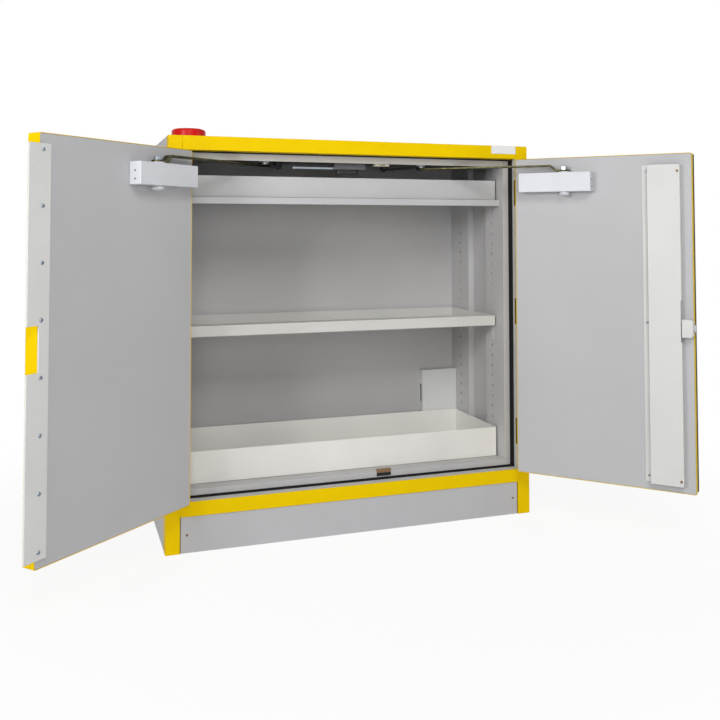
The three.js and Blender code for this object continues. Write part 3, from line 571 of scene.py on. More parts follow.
def rounded_ring(a0, a1, b0, b1, radius, steps=5):
    """The points of a rectangle with round corners."""
    points = []
    middles = ((a1 - radius, b0 + radius), (a1 - radius, b1 - radius), (a0 + radius, b1 - radius),
               (a0 + radius, b0 + radius))
    for quarter, (a, b) in enumerate(middles):
        for step in range(steps + 1):
            angle = math.radians(90 * (quarter - 1) + 90 * step / steps)
            points.append((a + radius * math.cos(angle), b + radius * math.sin(angle)))
    return points


def quarter_round(radius, level, way, steps=3, side=0.0, inward=1, back=False):
    """Pairs of place across and height that round the edge between a face and a side.

    The face is at a level, and the round leaves it in its way, up or down. Inward is the way
    from the side towards the face's middle, and the pairs run from the face to the side, or back.
    """
    pairs = []
    for step in range(steps + 1):
        angle = math.radians(90 * step / steps)
        across = side + inward * radius * (1 - math.sin(angle))
        pairs.append((across, level + way * radius * (1 - math.cos(angle))))
    return pairs[::-1] if back else pairs


def near(radius, height, *steps):
    """Points of a profile, each by its steps in millimetres from a radius and a height."""
    return [(radius + out * MM, height + up * MM) for out, up in steps]


def lathe(shell, profile, place, sides=MIDDLE_ROUND, closed=False):
    """Turns a profile of (radius, height) pairs about the up axis of its place."""
    turns = [2 * math.pi * index / sides for index in range(sides)]
    rings = [[(r * math.cos(turn), r * math.sin(turn), z) for turn in turns] for r, z in profile]
    return loft(shell, rings, place, closed)


def stack(shell, box, levels, corner, least, place):
    """Lofts a box's outline, with round corners, through (inset, level) pairs."""
    (a0, b0, _), (a1, b1, _) = box
    rings = []
    for inset, level in levels:
        radius = max(corner - inset, least)
        ring = rounded_ring(a0 + inset, a1 - inset, b0 + inset, b1 - inset, radius)
        rings.append([(a, b, level) for a, b in ring])
    return loft(shell, rings, place)


def prism(shell, box, radius, edge, place=Matrix(), steps=2):
    """A box with round upright corners of that radius, and its other edges rounded by that edge."""
    foot, head = box[0][2], box[1][2]
    levels = quarter_round(edge, foot, 1, steps) + quarter_round(edge, head, -1, steps, back=True)
    return stack(shell, box, levels, radius, 0.02 * MM, place)


def pan(shell, box, wall, corner, fold, rim, place=Matrix()):
    """A folded sheet pan. Its closed side is the box's foot and it is open towards its head."""
    foot, head = box[0][2], box[1][2]
    inner_fold = max(fold - wall, 0.3 * MM)
    levels = quarter_round(fold, foot, 1) + quarter_round(rim, head, -1, 2, back=True)
    levels += quarter_round(rim, head, -1, 2, wall, -1)
    levels += quarter_round(inner_fold, foot + wall, 1, 2, wall, back=True)
    return stack(shell, box, levels, corner, 0.05 * MM, place)


def slab(shell, box, place=Matrix()):
    """A flat sheet with plain corners, whose edges are rounded later."""
    (a0, b0, c0), (a1, b1, c1) = box
    ring = ((a0, b0), (a1, b0), (a1, b1), (a0, b1))
    return loft(shell, [[(a, b, c) for a, b in ring] for c in (c0, c1)], place)


# Places on the doors

BOARD_INSET = 1.5 * MM
BOARD_SUNK = 0.3 * MM
UPRIGHT = Matrix(((1, 0, 0, 0), (0, 0, 1, 0), (0, 1, 0, 0), (0, 0, 0, 1)))


def local_box(node, place):
    """A solid's lowest and highest corner in the lengths of a place."""
    back = place.inverted()
    points = [back @ vertex.co for vertex in frame["nodes"][node].data.vertices]
    return [
        Vector([pick(point[axis] for point in points) for axis in range(3)]) for pick in (min, max)
    ]


def pin_space(side):
    """A door's own frame: the origin on its hinge pins, turned with the door."""
    joint = JOINTS[f"{WORD[side]}_door_hinge"]
    turn = -joint["axis"][2] * math.radians(joint["range_deg"][1])
    x, y, _ = joint["pos_m"]
    return Matrix.Translation((x, y, 0)) @ Matrix.Rotation(turn, 4, "Z")


def pin_to_corner(side):
    """How far a door's hinge edge and its inner face lie from its pins."""
    low, high = local_box(f"{WORD[side]}_door_board", pin_space(side))
    return min(abs(low.x), abs(high.x)) - BOARD_INSET, high.y + BOARD_SUNK


def door_space(side):
    """A door's own lengths: along from its hinge edge, off inwards from its inner face, and up."""
    edge, inner_face = pin_to_corner(side)
    start = Matrix.Translation((-side * edge, inner_face, 0))
    return pin_space(side) @ start @ Matrix.Diagonal((-side, 1, 1, 1))


def upright_space(side):
    """Lengths along a door, upwards, and off its inner face, for forms that are drawn on it."""
    return door_space(side) @ UPRIGHT


def door_box(side):
    """A door's box along, off and up, from its board."""
    low, high = local_box(f"{WORD[side]}_door_board", door_space(side))
    inset = Vector([BOARD_INSET] * 3)
    high += inset
    high.y = 0.0
    return low - inset, high


HANDLE_SETBACK = 63.0 * MM


def handle_place():
    """The middle of the handle's spindle along the right door, and its height."""
    low, high = local_box("latch_bolt", door_space(RIGHT))
    return door_box(RIGHT)[1].x - HANDLE_SETBACK, (low.z + high.z) / 2


# Node trees for what repeats or follows a path


class PieceTree(NodeWork):
    """A Geometry Nodes tree, which ends in Realize Instances and Set Material."""

    def __init__(self, name, inputs):
        super().__init__(bpy.data.node_groups.new(name, "GeometryNodeTree"))
        self.tree.is_modifier = True
        for title, kind in {"Geometry": "Geometry", **inputs, "Material": "Material"}.items():
            self.socket(title, kind, "INPUT")
        self.socket("Geometry", "Geometry", "OUTPUT")
        self.given = self.node("NodeGroupInput").outputs

    def socket(self, title, kind, way):
        self.tree.interface.new_socket(title, in_out=way, socket_type=f"NodeSocket{kind}")

    def object_geometry(self, title):
        """The mesh of the object that one of the tree's inputs names."""
        return self.out("GeometryNodeObjectInfo", "Geometry", {"Object": self.given[title]})

    def round_rectangle(self, width, height, corner, count):
        """A closed curve sized by three of the tree's inputs, with that many steps in a corner."""
        sides = {"Width": self.given[width], "Height": self.given[height]}
        curve = self.out("GeometryNodeCurvePrimitiveQuadrilateral", "Curve", sides)
        inputs = {"Curve": curve, "Radius": self.given[corner], "Count": count}
        return self.out("GeometryNodeFilletCurve", "Curve", inputs, mode="POLY")

    def finish(self, geometry):
        """Ends the tree with that geometry."""
        real = self.out("GeometryNodeRealizeInstances", "Geometry", {"Geometry": geometry})
        inputs = {"Geometry": real, "Material": self.given["Material"]}
        done = self.out("GeometryNodeSetMaterial", "Geometry", inputs)
        self.node("NodeGroupOutput", {"Geometry": done})
        return self.tree


def grow(piece, tree, inputs):
    """Runs a tree on a piece, with its inputs set by their sockets' identifiers."""
    step = modify(piece, tree.name, "NODES", node_group=tree)
    sockets = {
        item.name: item.identifier for item in tree.interface.items_tree
        if item.item_type == "SOCKET" and item.in_out == "INPUT"
    }
    for name, value in inputs.items():
        step[sockets[name]] = value
    piece.update_tag()
    settle(piece)


@cache
def fixings_tree():
    """One template on every point, turned to the point's facing and scaled to its size."""
    work = PieceTree("Fixings on points", {"Template": "Object", "Size": "Float"})
    name = {"Name": "facing"}
    vector = work.out(
        "GeometryNodeInputNamedAttribute", "Attribute", name, data_type="FLOAT_VECTOR",
    )
    turn = work.out("FunctionNodeAlignRotationToVector", "Rotation", {"Vector": vector}, axis="Z")
    return work.finish(work.out("GeometryNodeInstanceOnPoints", "Instances", {
        "Points": work.given["Geometry"], "Instance": work.object_geometry("Template"),
        "Rotation": turn, "Scale": work.given["Size"],
    }))


@cache
def column_tree():
    """Copies of a slice, one above the other, joined with the plain ends into one body."""
    work = PieceTree("Perforated column", {
        "Ends": "Object", "Start": "Vector", "Pitch": "Float", "Count": "Int",
    })
    given = work.given
    step = work.out("ShaderNodeCombineXYZ", "Vector", {"Z": given["Pitch"]})
    line = work.out("GeometryNodeMeshLine", "Mesh", {
        "Count": given["Count"], "Start Location": given["Start"], "Offset": step,
    }, mode="OFFSET")
    inputs = {"Points": line, "Instance": given["Geometry"]}
    both = work.node("GeometryNodeJoinGeometry")
    work.put(both.inputs[0], work.out("GeometryNodeInstanceOnPoints", "Instances", inputs))
    work.put(both.inputs[0], work.object_geometry("Ends"))
    return work.finish(both.outputs["Geometry"])


def seal_tree():
    """A rubber section swept round a rectangle with round corners, in the plane of the front."""
    work = PieceTree("Seal round a frame", {
        "Width": "Float", "Height": "Float", "Corner": "Float", "Section width": "Float",
        "Section depth": "Float", "Section rounding": "Float", "Centre": "Vector",
    })
    path = work.round_rectangle("Width", "Height", "Corner", 6)
    section = work.round_rectangle("Section width", "Section depth", "Section rounding", 3)
    swept = work.out("GeometryNodeCurveToMesh", "Mesh", {"Curve": path, "Profile Curve": section})
    return work.finish(work.out("GeometryNodeTransform", "Geometry", {
        "Geometry": swept, "Rotation": (math.pi / 2, 0, 0), "Translation": work.given["Centre"],
    }))


def fixings(name, points, template, size, body, slot, paint, nodes=()):
    """One piece with a template at each of its (place, facing) points."""
    mesh = bpy.data.meshes.new(name)
    mesh.from_pydata([place for place, _ in points], [], [])
    layer = mesh.attributes.new("facing", "FLOAT_VECTOR", "POINT")
    for index, (_, way) in enumerate(points):
        layer.data[index].vector = way
    piece = new_object(name, mesh)
    grow(piece, fixings_tree(), {"Template": template, "Size": size, "Material": finish(paint)})
    bpy.data.objects.remove(template)
    hand_over(piece, body, slot, nodes, paint)


# Pieces


class CabinetStep:
    """What every step of the build shares."""

    bl_options = {"REGISTER", "UNDO"}


PLINTH_GAP = 1.4 * MM
PLINTH_GAP_SHADE_SPREAD = (0.8 * MM, 2.8 * MM)


class BuildFrame(CabinetStep, bpy.types.Operator):
    """Dresses the yellow front frame and the plinth, and sets black sheets as painted shade in the gaps at the
    plinth's ends.
    """

    bl_idname = "cabinet.build_frame"
    bl_label = "Front frame and plinth"

    def execute(self, context):
        plinth = dress("left_stile", "right_stile", "top_rail", "bottom_rail", "plinth_panel")
        for vertex in plinth.data.vertices:
            vertex.co.x -= math.copysign(PLINTH_GAP, vertex.co.x)
        low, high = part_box("plinth_panel")
        front, back = (low.y + depth for depth in PLINTH_GAP_SHADE_SPREAD)
        # Painted shade: black rubber sheets just behind the gaps at the plinth's ends, for the shadow in them.
        shell = bmesh.new()
        for x in (low.x, high.x - PLINTH_GAP):
            slab(shell, ((x, front, low.z), (x + PLINTH_GAP, back, high.z)))
        make("plinth_joints", shell, edge=0.1 * MM, body="cabinet", slot="seal_rubber")
        return {"FINISHED"}


class BuildCasing(CabinetStep, bpy.types.Operator):
    """Dresses the outer casing and finishes the insulation inside it."""

    bl_idname = "cabinet.build_casing"
    bl_label = "Casing"

    def execute(self, context):
        dress("left_side_panel", "right_side_panel", "back_panel", "top_panel")
        paint_solid("insulation_shell")
        return {"FINISHED"}


class BuildLining(CabinetStep, bpy.types.Operator):
    """Dresses the lining sheets."""

    bl_idname = "cabinet.build_lining"
    bl_label = "Lining"

    def execute(self, context):
        dress("left_liner", "right_liner", "back_liner", "floor_liner", "ceiling_liner")
        return {"FINISHED"}


HOLE_SIDES = 16
HOLE_COUNT = 28
FIRST_HOLE_RISE = 14.4 * MM
FRONT_HOLE_SETBACK = 57.0 * MM
REAR_HOLE_SETBACK = 52.7 * MM


class UprightSection:
    """The channel of one upright in plan, with its holes' middle and its two faces."""

    def __init__(self, node, side, hole_y):
        low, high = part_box(node)
        sheet = sizes().tray_wall
        self.root, outer = (low.x, high.x) if side == LEFT else (high.x, low.x)
        self.faces = ((outer, low.y, high.y), (outer + side * sheet, low.y + sheet, high.y - sheet))
        self.hole_y = hole_y
        self.half = sizes().hole_pitch / 2
        self.steps = [self.half * step / 2 for step in range(-2, 3)]

    def returns(self):
        """The runs in plan round the channel's back and front edge, between the two faces."""
        (x0, start0, end0), (x1, start1, end1) = self.faces
        back = [(x0, end0), (self.root, end0), (self.root, end1), (x1, end1)]
        front = [(x1, start1), (self.root, start1), (self.root, start0), (x0, start0)]
        return back, front

    def slice(self, shell):
        """One pitch of the channel, with its hole in the middle, open above and below."""
        radius = sizes().hole_radius
        angles = [math.radians(360 * index / HOLE_SIDES - 45) for index in range(HOLE_SIDES)]
        rims = []
        for x, start, end in self.faces:
            square = self.square(x)
            circle = [(x, self.hole_y + radius * math.cos(a), radius * math.sin(a)) for a in angles]
            rims.append(points_at(shell, circle))
            band(shell, points_at(shell, square), rims[-1])
            for corner, y in ((0, end), (8, start)):
                run = square[corner:corner + 5]
                face(shell, [*run, (x, y, run[-1][2]), (x, y, run[0][2])])
        band(shell, *rims)
        for run in self.returns():
            self.wall(shell, run, -self.half, self.half)

    def square(self, x):
        """Sixteen points round the square about a hole, from its lower corner at the back."""
        y, half, steps = self.hole_y, self.half, self.steps
        points = [(x, y + half, step) for step in steps[:4]]
        points += [(x, y + step, half) for step in steps[:0:-1]]
        points += [(x, y - half, step) for step in steps[:0:-1]]
        return points + [(x, y + step, -half) for step in steps[:4]]

    def wall(self, shell, run, low, high):
        """Upright faces along a run of places in plan."""
        for (x0, y0), (x1, y1) in zip(run, run[1:]):
            face(shell, ((x0, y0, low), (x1, y1, low), (x1, y1, high), (x0, y0, high)))

    def end(self, shell, low, high, cap):
        """A plain length of the channel, closed at one level."""
        back, front = self.returns()
        places = [self.hole_y + step for step in self.steps]
        ring = [(self.faces[0][0], y) for y in places] + back
        ring += [(self.faces[1][0], y) for y in reversed(places)] + front
        self.wall(shell, ring + ring[:1], low, high)
        face(shell, [(x, y, cap) for x, y in ring])


class BuildUprights(CabinetStep, bpy.types.Operator):
    """Grows the four perforated uprights from a slice with one hole."""

    bl_idname = "cabinet.build_uprights"
    bl_label = "Perforated uprights"

    def execute(self, context):
        for side in (LEFT, RIGHT):
            for place in ("front", "rear"):
                self.build(side, place)
        return {"FINISHED"}

    def build(self, side, place):
        node = f"{WORD[side]}_{place}_upright"
        low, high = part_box(node)
        hole_y = low.y + FRONT_HOLE_SETBACK if place == "front" else high.y - REAR_HOLE_SETBACK
        section = UprightSection(node, side, hole_y)
        start = low.z + FIRST_HOLE_RISE
        foot = start - section.half
        head = foot + HOLE_COUNT * sizes().hole_pitch
        shell = bmesh.new()
        section.slice(shell)
        piece = object_of(f"{node}_finished", shell)
        shell = bmesh.new()
        section.end(shell, low.z, foot, low.z)
        section.end(shell, head, high.z, high.z)
        ends = object_of("upright_ends", shell)
        grow(piece, column_tree(), {
            "Ends": ends, "Start": (0.0, 0.0, start), "Pitch": sizes().hole_pitch,
            "Count": HOLE_COUNT, "Material": finish("lining_paint"),
        })
        bpy.data.objects.remove(ends)
        shell = shell_of(piece.data)
        close_up(shell, SLICE_WELD)
        shell.to_mesh(piece.data)
        shell.free()
        soften(piece, sizes().fine_edge)
        hand_over(piece, BODY_OF[node], SLOT_OF[node], (node,))


SEAL_WIDTH = 2.6 * MM
SEAL_CORNER = 3.0 * MM
SEAL_ROUNDING = 0.8 * MM
STRIP_THICKNESS = 0.5 * MM
STRIP_EDGE = 0.15 * MM
STRIP_SETBACK = 1.0 * MM
GASKET_START = 1.0 * MM
SILL_GASKET_DEPTH = 8.0 * MM
# Size and place of the painted hinge shade on the stiles' inner sides.
HINGE_SHADE_THICKNESS = 0.9 * MM
HINGE_SHADE_SPREAD = (-13.2 * MM, -6.5 * MM)


class BuildSeal(CabinetStep, bpy.types.Operator):
    """Sweeps the door seal round the frame, and lays heat strips, gaskets and painted hinge shade: dark yellow
    sheets where the hinges sit in shadow.
    """

    bl_idname = "cabinet.build_seal"
    bl_label = "Door seal, strips and gaskets"

    def execute(self, context):
        low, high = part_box("door_seal")
        piece = new_object("door_seal_section", bpy.data.meshes.new("door_seal_section"))
        grow(piece, seal_tree(), {
            "Width": high.x - low.x - SEAL_WIDTH, "Height": high.z - low.z - SEAL_WIDTH,
            "Corner": SEAL_CORNER, "Section width": SEAL_WIDTH, "Section depth": high.y - low.y,
            "Section rounding": SEAL_ROUNDING, "Centre": (low + high) / 2,
            "Material": finish("seal_rubber"),
        })
        shell = shell_of(piece.data)
        bpy.data.objects.remove(piece)
        make("door_seal_finished", shell, "door_seal")
        self.lay_strips(low.y)
        return {"FINISHED"}

    def lay_strips(self, seal_front):
        stile_low, stile_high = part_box("left_stile")
        front = stile_low.y + STRIP_SETBACK
        sill = seal_front - SILL_GASKET_DEPTH
        back = seal_front + SEAL_ROUNDING
        half = -stile_high.x
        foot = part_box("bottom_rail")[1].z
        rise = foot + STRIP_THICKNESS
        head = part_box("top_rail")[0].z
        light, dark, hinge_shade = bmesh.new(), bmesh.new(), bmesh.new()
        slab(light, ((-half, front, foot), (half, sill, rise)))
        slab(dark, ((-half, sill, foot), (half, back, rise)))
        start, end = HINGE_SHADE_SPREAD
        for side, word in WORD.items():
            x0, x1 = sorted((side * half, side * (half - STRIP_THICKNESS)))
            slab(light, ((x0, front, rise), (x1, GASKET_START, head)))
            slab(dark, ((x0, GASKET_START, rise), (x1, back, head)))
            # Painted shade: a thin dark yellow sheet on each stile's inner side at every hinge, for the hinges
            # lying in shadow.
            x0, x1 = sorted((side * half, side * (half - HINGE_SHADE_THICKNESS)))
            for level in LEVELS:
                low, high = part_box(f"{word}_{level}_hinge")
                slab(hinge_shade, ((x0, start, low.z), (x1, end, high.z)))
        for name, shell, slot, paint in (
            ("heat_strips", light, "white_paint", "heat_strip"),
            ("hinge_bars", hinge_shade, "yellow_paint", "hinge_bar"),
            ("side_gaskets", dark, "seal_rubber", None),
        ):
            make(name, shell, edge=STRIP_EDGE, body="cabinet", slot=slot, paint=paint)


TRAY_RIM = 0.5 * MM


class BuildShelves(CabinetStep, bpy.types.Operator):
    """Folds the shelf, the upper shelf and the two trays, and dresses the shelf clips."""

    bl_idname = "cabinet.build_shelves"
    bl_label = "Shelves, trays and clips"

    def execute(self, context):
        fold = sizes().tray_fold
        # The upper tray and the upper shelf take a coat darkened as painted shade.
        for node, paint in (("main_shelf", "shelf_paint"), ("upper_tray", "upper_tray_shaded_paint"),
                            ("lower_tray", "tray_paint")):
            shell = pan(bmesh.new(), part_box(node), sizes().tray_wall, fold, fold, TRAY_RIM)
            make(f"{node}_finished", shell, node, paint=paint)
        dress("upper_shelf", edge=0.6 * MM, paint="upper_tray_shaded_paint")
        clips = [f"{word}_{end}_shelf_clip" for word in WORD.values() for end in ("front", "rear")]
        dress(*clips, edge=sizes().fine_edge, paint="lining_paint")
        return {"FINISHED"}


CAP_SINK = 1.8 * MM
CAP_WALL = 1.5 * MM
CAP_GAP = 0.3 * MM
CAP_ROUND = 6.0 * MM
TUBE_WALL = 2.0 * MM


class BuildVent(CabinetStep, bpy.types.Operator):
    """Turns the vent spigot and its red cap, and dresses the cover inside."""

    bl_idname = "cabinet.build_vent"
    bl_label = "Vent spigot, cap and cover"

    def execute(self, context):
        low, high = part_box("vent_spigot")
        cap_low, cap_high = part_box("vent_cap")
        middle = (cap_low + cap_high) / 2
        place = Matrix.Translation((middle.x, middle.y, 0))
        flange = (high.x - low.x) / 2
        cap = (cap_high.x - cap_low.x) / 2
        inner = cap - CAP_WALL
        tube = inner - CAP_GAP
        bore = tube - TUBE_WALL
        tube_top = high.z - CAP_SINK
        profile = near(bore, low.z, (0, 0)) + near(flange, low.z, (0, 0), (0, 1.1), (-0.4, 1.5))
        profile += near(tube, low.z, (1.6, 1.5), (0.5, 2), (0, 3.2))
        profile += near(tube, tube_top, (0, -0.6), (-0.6, 0))
        profile += near(bore, tube_top, (0.3, 0), (0, -0.4))
        spigot = lathe(bmesh.new(), profile, place, LARGE_ROUND, True)
        make("vent_spigot_finished", spigot, "vent_spigot")
        cap_top = cap_high.z - CAP_SINK
        profile = quarter_round(CAP_ROUND, cap_top, -1, 6, cap, -1)
        profile += near(cap, cap_low.z, (0, 1.6), (0, 0.5), (-0.5, 0))
        profile += near(inner, cap_low.z, (0.3, 0), (0, 0.3))
        profile += quarter_round(CAP_ROUND - CAP_WALL, cap_top - CAP_WALL, -1, 4, inner, -1, True)
        make("vent_cap_finished", lathe(bmesh.new(), profile, place, LARGE_ROUND), "vent_cap")
        dress("vent_cover")
        return {"FINISHED"}


class BuildStrikes(CabinetStep, bpy.types.Operator):
    """Dresses the strikes of the lock rods."""

    bl_idname = "cabinet.build_strikes"
    bl_label = "Strikes"

    def execute(self, context):
        dress("top_strike", edge=0.8 * MM)
        dress("bottom_strike", edge=0.3 * MM)
        return {"FINISHED"}


RAIL_LENGTH = 91.0 * MM
RAIL_DEPTH = 10.6 * MM
RAIL_HEIGHT = 4.4 * MM
RAIL_CLEARANCE = 0.15 * MM
RAIL_OVERHANG = 0.3 * MM


class BuildCoordinator(CabinetStep, bpy.types.Operator):
    """Dresses the coordinator under the ceiling and its lever, and adds its rail."""

    bl_idname = "cabinet.build_coordinator"
    bl_label = "Coordinator"

    def execute(self, context):
        dress("coordinator_block", edge=0.7 * MM)
        low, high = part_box("coordinator_block")
        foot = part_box("coordinator_lever")[1].z + RAIL_CLEARANCE
        front = (low.y + high.y - RAIL_DEPTH) / 2
        box = ((low.x - RAIL_OVERHANG, front, foot),
               (low.x + RAIL_LENGTH, front + RAIL_DEPTH, foot + RAIL_HEIGHT))
        shell = slab(bmesh.new(), box)
        make("coordinator_rail", shell, edge=0.4 * MM, body="cabinet", slot="plated_steel",
             paint="screw_steel")
        dress("coordinator_lever", edge=0.8 * MM, paint="black_plastic", segments=3)
        return {"FINISHED"}


HINGE_HALF = 29.0 * MM
HINGE_GAP = 0.3 * MM
LEAF_THICKNESS = 2.3 * MM
LEAF_WIDTH = 17.0 * MM
LEAF_CORNER = 1.5 * MM
LEAF_EDGE = 0.3 * MM
LEAF_START = 0.9
PIN_PROUD = 4.0 * MM
PIN_ROOT = 2.0 * MM
BARREL_EDGE = 0.5 * MM


def barrel(shell, radius, bore, low, high, place):
    """A hinge knuckle with its edges rounded, bored through unless its bore is nought."""
    profile = quarter_round(BARREL_EDGE, low, 1, 2, radius, -1)
    profile += quarter_round(BARREL_EDGE, high, -1, 2, radius, -1, True)
    if bore:
        profile += [(bore, high), (bore, low)]
    lathe(shell, profile, place, SMALL_ROUND, bool(bore))


class BuildHinges(CabinetStep, bpy.types.Operator):
    """Grows the hinge halves on the stiles and on the doors, three for each side."""

    bl_idname = "cabinet.build_hinges"
    bl_label = "Door hinges"

    def execute(self, context):
        radius = sizes().knuckle_radius
        pin_radius = sizes().hinge_pin
        leaf_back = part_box("left_stile")[0].y - LEAF_EDGE
        joint = HINGE_HALF + HINGE_GAP
        top = 2 * HINGE_HALF
        for side in (LEFT, RIGHT):
            word = WORD[side]
            nodes = [f"{word}_{level}_hinge" for level in LEVELS]
            space = pin_space(side)
            pin = space.translation
            on_pin = Matrix.Translation(pin)
            shell = bmesh.new()
            barrel(shell, radius, 0.0, 0.0, HINGE_HALF, on_pin)
            barrel(shell, pin_radius, 0.0, HINGE_HALF - PIN_ROOT, top, on_pin)
            x0, x1 = sorted((pin.x, pin.x + side * LEAF_WIDTH))
            box = ((x0, 0.0, leaf_back - LEAF_THICKNESS), (x1, HINGE_HALF, leaf_back))
            prism(shell, box, LEAF_CORNER, LEAF_EDGE, UPRIGHT)
            self.repeat(f"{word}_frame_hinges", shell, nodes, "cabinet", nodes)
            shell = bmesh.new()
            barrel(shell, radius, pin_radius + HINGE_GAP, joint, top, space)
            inner = PIN_PROUD - LEAF_EDGE
            far = pin_to_corner(side)[0] + LEAF_WIDTH
            x0, x1 = sorted((-side * radius * LEAF_START, -side * far))
            box = ((x0, joint, inner - LEAF_THICKNESS), (x1, top, inner))
            prism(shell, box, LEAF_CORNER, LEAF_EDGE, space @ UPRIGHT)
            self.repeat(f"{word}_door_knuckles", shell, nodes, f"{word}_door", ())
        return {"FINISHED"}

    def repeat(self, name, shell, levels, body, nodes):
        """Sets a hinge half at the foot of each hinge."""
        template = object_of("hinge_half", shell)
        smooth(template)
        points = [((0.0, 0.0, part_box(node)[0].z), (0.0, 0.0, 1.0)) for node in levels]
        fixings(name, points, template, 1.0, body, "yellow_paint", "yellow_paint", nodes)


EDGE_GASKET_SPREAD = (-25.0 * MM, -12.0 * MM)
EDGE_GASKET_THICKNESS = 0.8 * MM
EDGE_GASKET_GAP = 3.0 * MM
SPINDLE_ROOM = 5.1 * MM
DRILL_OVERRUN = 5.0 * MM
SKIN_RIM = 0.45 * MM
BOARD_EDGE = 0.35 * MM
BOARD_LEAST_CORNER = 1.2 * MM


class BuildDoors(CabinetStep, bpy.types.Operator):
    """Folds the two door skins, fits their boards, and lays the right door's edge gasket."""

    bl_idname = "cabinet.build_doors"
    bl_label = "Doors"

    def execute(self, context):
        for side in (LEFT, RIGHT):
            self.build(side)
        low, high = door_box(RIGHT)
        start, end = EDGE_GASKET_SPREAD
        box = ((high.x, start, low.z + EDGE_GASKET_GAP),
               (high.x + EDGE_GASKET_THICKNESS, end, high.z - EDGE_GASKET_GAP))
        make("door_edge_gasket", slab(bmesh.new(), box, door_space(RIGHT)), edge=0.2 * MM,
             body="right_door", slot="seal_rubber")
        return {"FINISHED"}

    def build(self, side):
        low, high = door_box(side)
        place = upright_space(side)
        lip = sizes().door_lip
        gap = lip + sizes().board_gap
        corner = sizes().door_corner
        box = ((low.x, low.z, low.y), (high.x, high.z, 0.0))
        skin = pan(bmesh.new(), box, lip, corner, sizes().door_fold, SKIN_RIM, place)
        box = ((low.x + gap, low.z + gap, low.y + gap), (high.x - gap, high.z - gap, -BOARD_SUNK))
        corner = max(corner - gap, BOARD_LEAST_CORNER)
        board = prism(bmesh.new(), box, corner, BOARD_EDGE, place)
        for node, shell in ((f"{WORD[side]}_door_skin", skin), (f"{WORD[side]}_door_board", board)):
            piece = object_of(f"{node}_finished", shell)
            if side == RIGHT:
                foot = low.y - DRILL_OVERRUN
                axis = place @ Matrix.Translation((*handle_place(), 0))
                bit = [(SPINDLE_ROOM, foot), (SPINDLE_ROOM, high.y + DRILL_OVERRUN)]
                drill(piece, lathe(bmesh.new(), bit, axis, SMALL_ROUND))
            smooth(piece)
            hand_over(piece, BODY_OF[node], SLOT_OF[node], (node,))


class BuildStrip(CabinetStep, bpy.types.Operator):
    """Dresses the centre strip on the left door."""

    bl_idname = "cabinet.build_strip"
    bl_label = "Centre strip"

    def execute(self, context):
        dress("centre_strip")
        return {"FINISHED"}


class BuildLock(CabinetStep, bpy.types.Operator):
    """Dresses the lock cover, the latch and the lock rods of the right door."""

    bl_idname = "cabinet.build_lock"
    bl_label = "Lock cover, latch and rods"

    def execute(self, context):
        dress("lock_cover")
        dress("latch_housing", edge=0.7 * MM, paint="white_paint")
        dress("latch_bolt", edge=0.8 * MM)
        dress("upper_lock_rod", "lower_lock_rod", edge=0.5 * MM)
        return {"FINISHED"}


# The lever's rings in millimetres: the place along it, half its width and its thickness
LEVER_STATIONS = (
    (11.0, 0.6, 8.6), (9.6, 3.4, 9.0), (6.5, 7.4, 9.0), (0.0, 9.9, 9.0), (-12.0, 9.9, 9.0),
    (-30.0, 8.4, 8.6), (-60.0, 7.8, 8.2), (-90.0, 8.2, 8.2), (-108.0, 9.2, 8.4), (-118.0, 9.4, 8.2),
    (-124.0, 7.8, 7.6), (-127.2, 4.2, 7.0), (-128.0, 0.8, 6.6),
)
LEVER_ROUNDNESS = 0.72
HUB_CLEARANCE = 0.3 * MM
# Radius and height in millimetres, off the door's outer face
HUB_PROFILE = ((16, 0), (16, -3), (15, -3.6), (12.5, -4.2), (11.6, -5.2))
ROSE_RADIUS = 12.0 * MM
ROSE_EDGE = 0.8 * MM
ROSE_FOOT = 0.3 * MM


class BuildHandle(CabinetStep, bpy.types.Operator):
    """Makes the door handle: its hub, its lever and the spindle through the door."""

    bl_idname = "cabinet.build_handle"
    bl_label = "Door handle"

    def execute(self, context):
        low, high = local_box("door_handle", door_space(RIGHT))
        place = upright_space(RIGHT) @ Matrix.Translation((*handle_place(), 0))
        outer_face = door_box(RIGHT)[0].y - HUB_CLEARANCE
        front = low.y
        shell = bmesh.new()
        lathe(shell, near(0, outer_face, *HUB_PROFILE) + near(0, front, (11.2, 4)), place)
        rings = []
        for run, half, depth in LEVER_STATIONS:
            half *= MM
            depth *= MM
            radius = min(half, depth / 2) * LEVER_ROUNDNESS
            ring = rounded_ring(-half, half, front, front + depth, radius, 4)
            rings.append([(run * MM, up, off) for up, off in ring])
        loft(shell, rings, place)
        spindle = near(0, outer_face, (4.5, -2)) + near(0, high.y, (4.5, -2.5))
        lathe(shell, spindle, place, SMALL_ROUND)
        rose = quarter_round(ROSE_EDGE, high.y, -1, 3, ROSE_RADIUS, -1)
        lathe(shell, rose + [(ROSE_RADIUS, ROSE_FOOT)], place)
        make("door_handle_finished", shell, "door_handle")
        return {"FINISHED"}


LOWER_CAP_HEIGHT = 9.0 * MM
CLOSER_HEIGHT = 41.5 * MM
# Radius and height in millimetres about the spindle, up from the solid's foot
LOWER_CAP = (
    (0.6, 0), (5, 0.3), (8.6, 1.2), (11.2, 2.9), (12, 4.6), (12, 5.8), (11.5, 6.3), (9.5, 6.4),
    (9.5, 9.5),
)
# The same from the casing's top
BOSS = ((13, -0.5), (13, 1.3), (12.6, 1.7), (10, 1.7), (9.6, 1.2))
# The same from the solid's top
HEX_HEAD = ((7.5, -3.5), (7.5, 2.8), (6.6, 3.5), (3.75, 3.5), (3.45, 3))


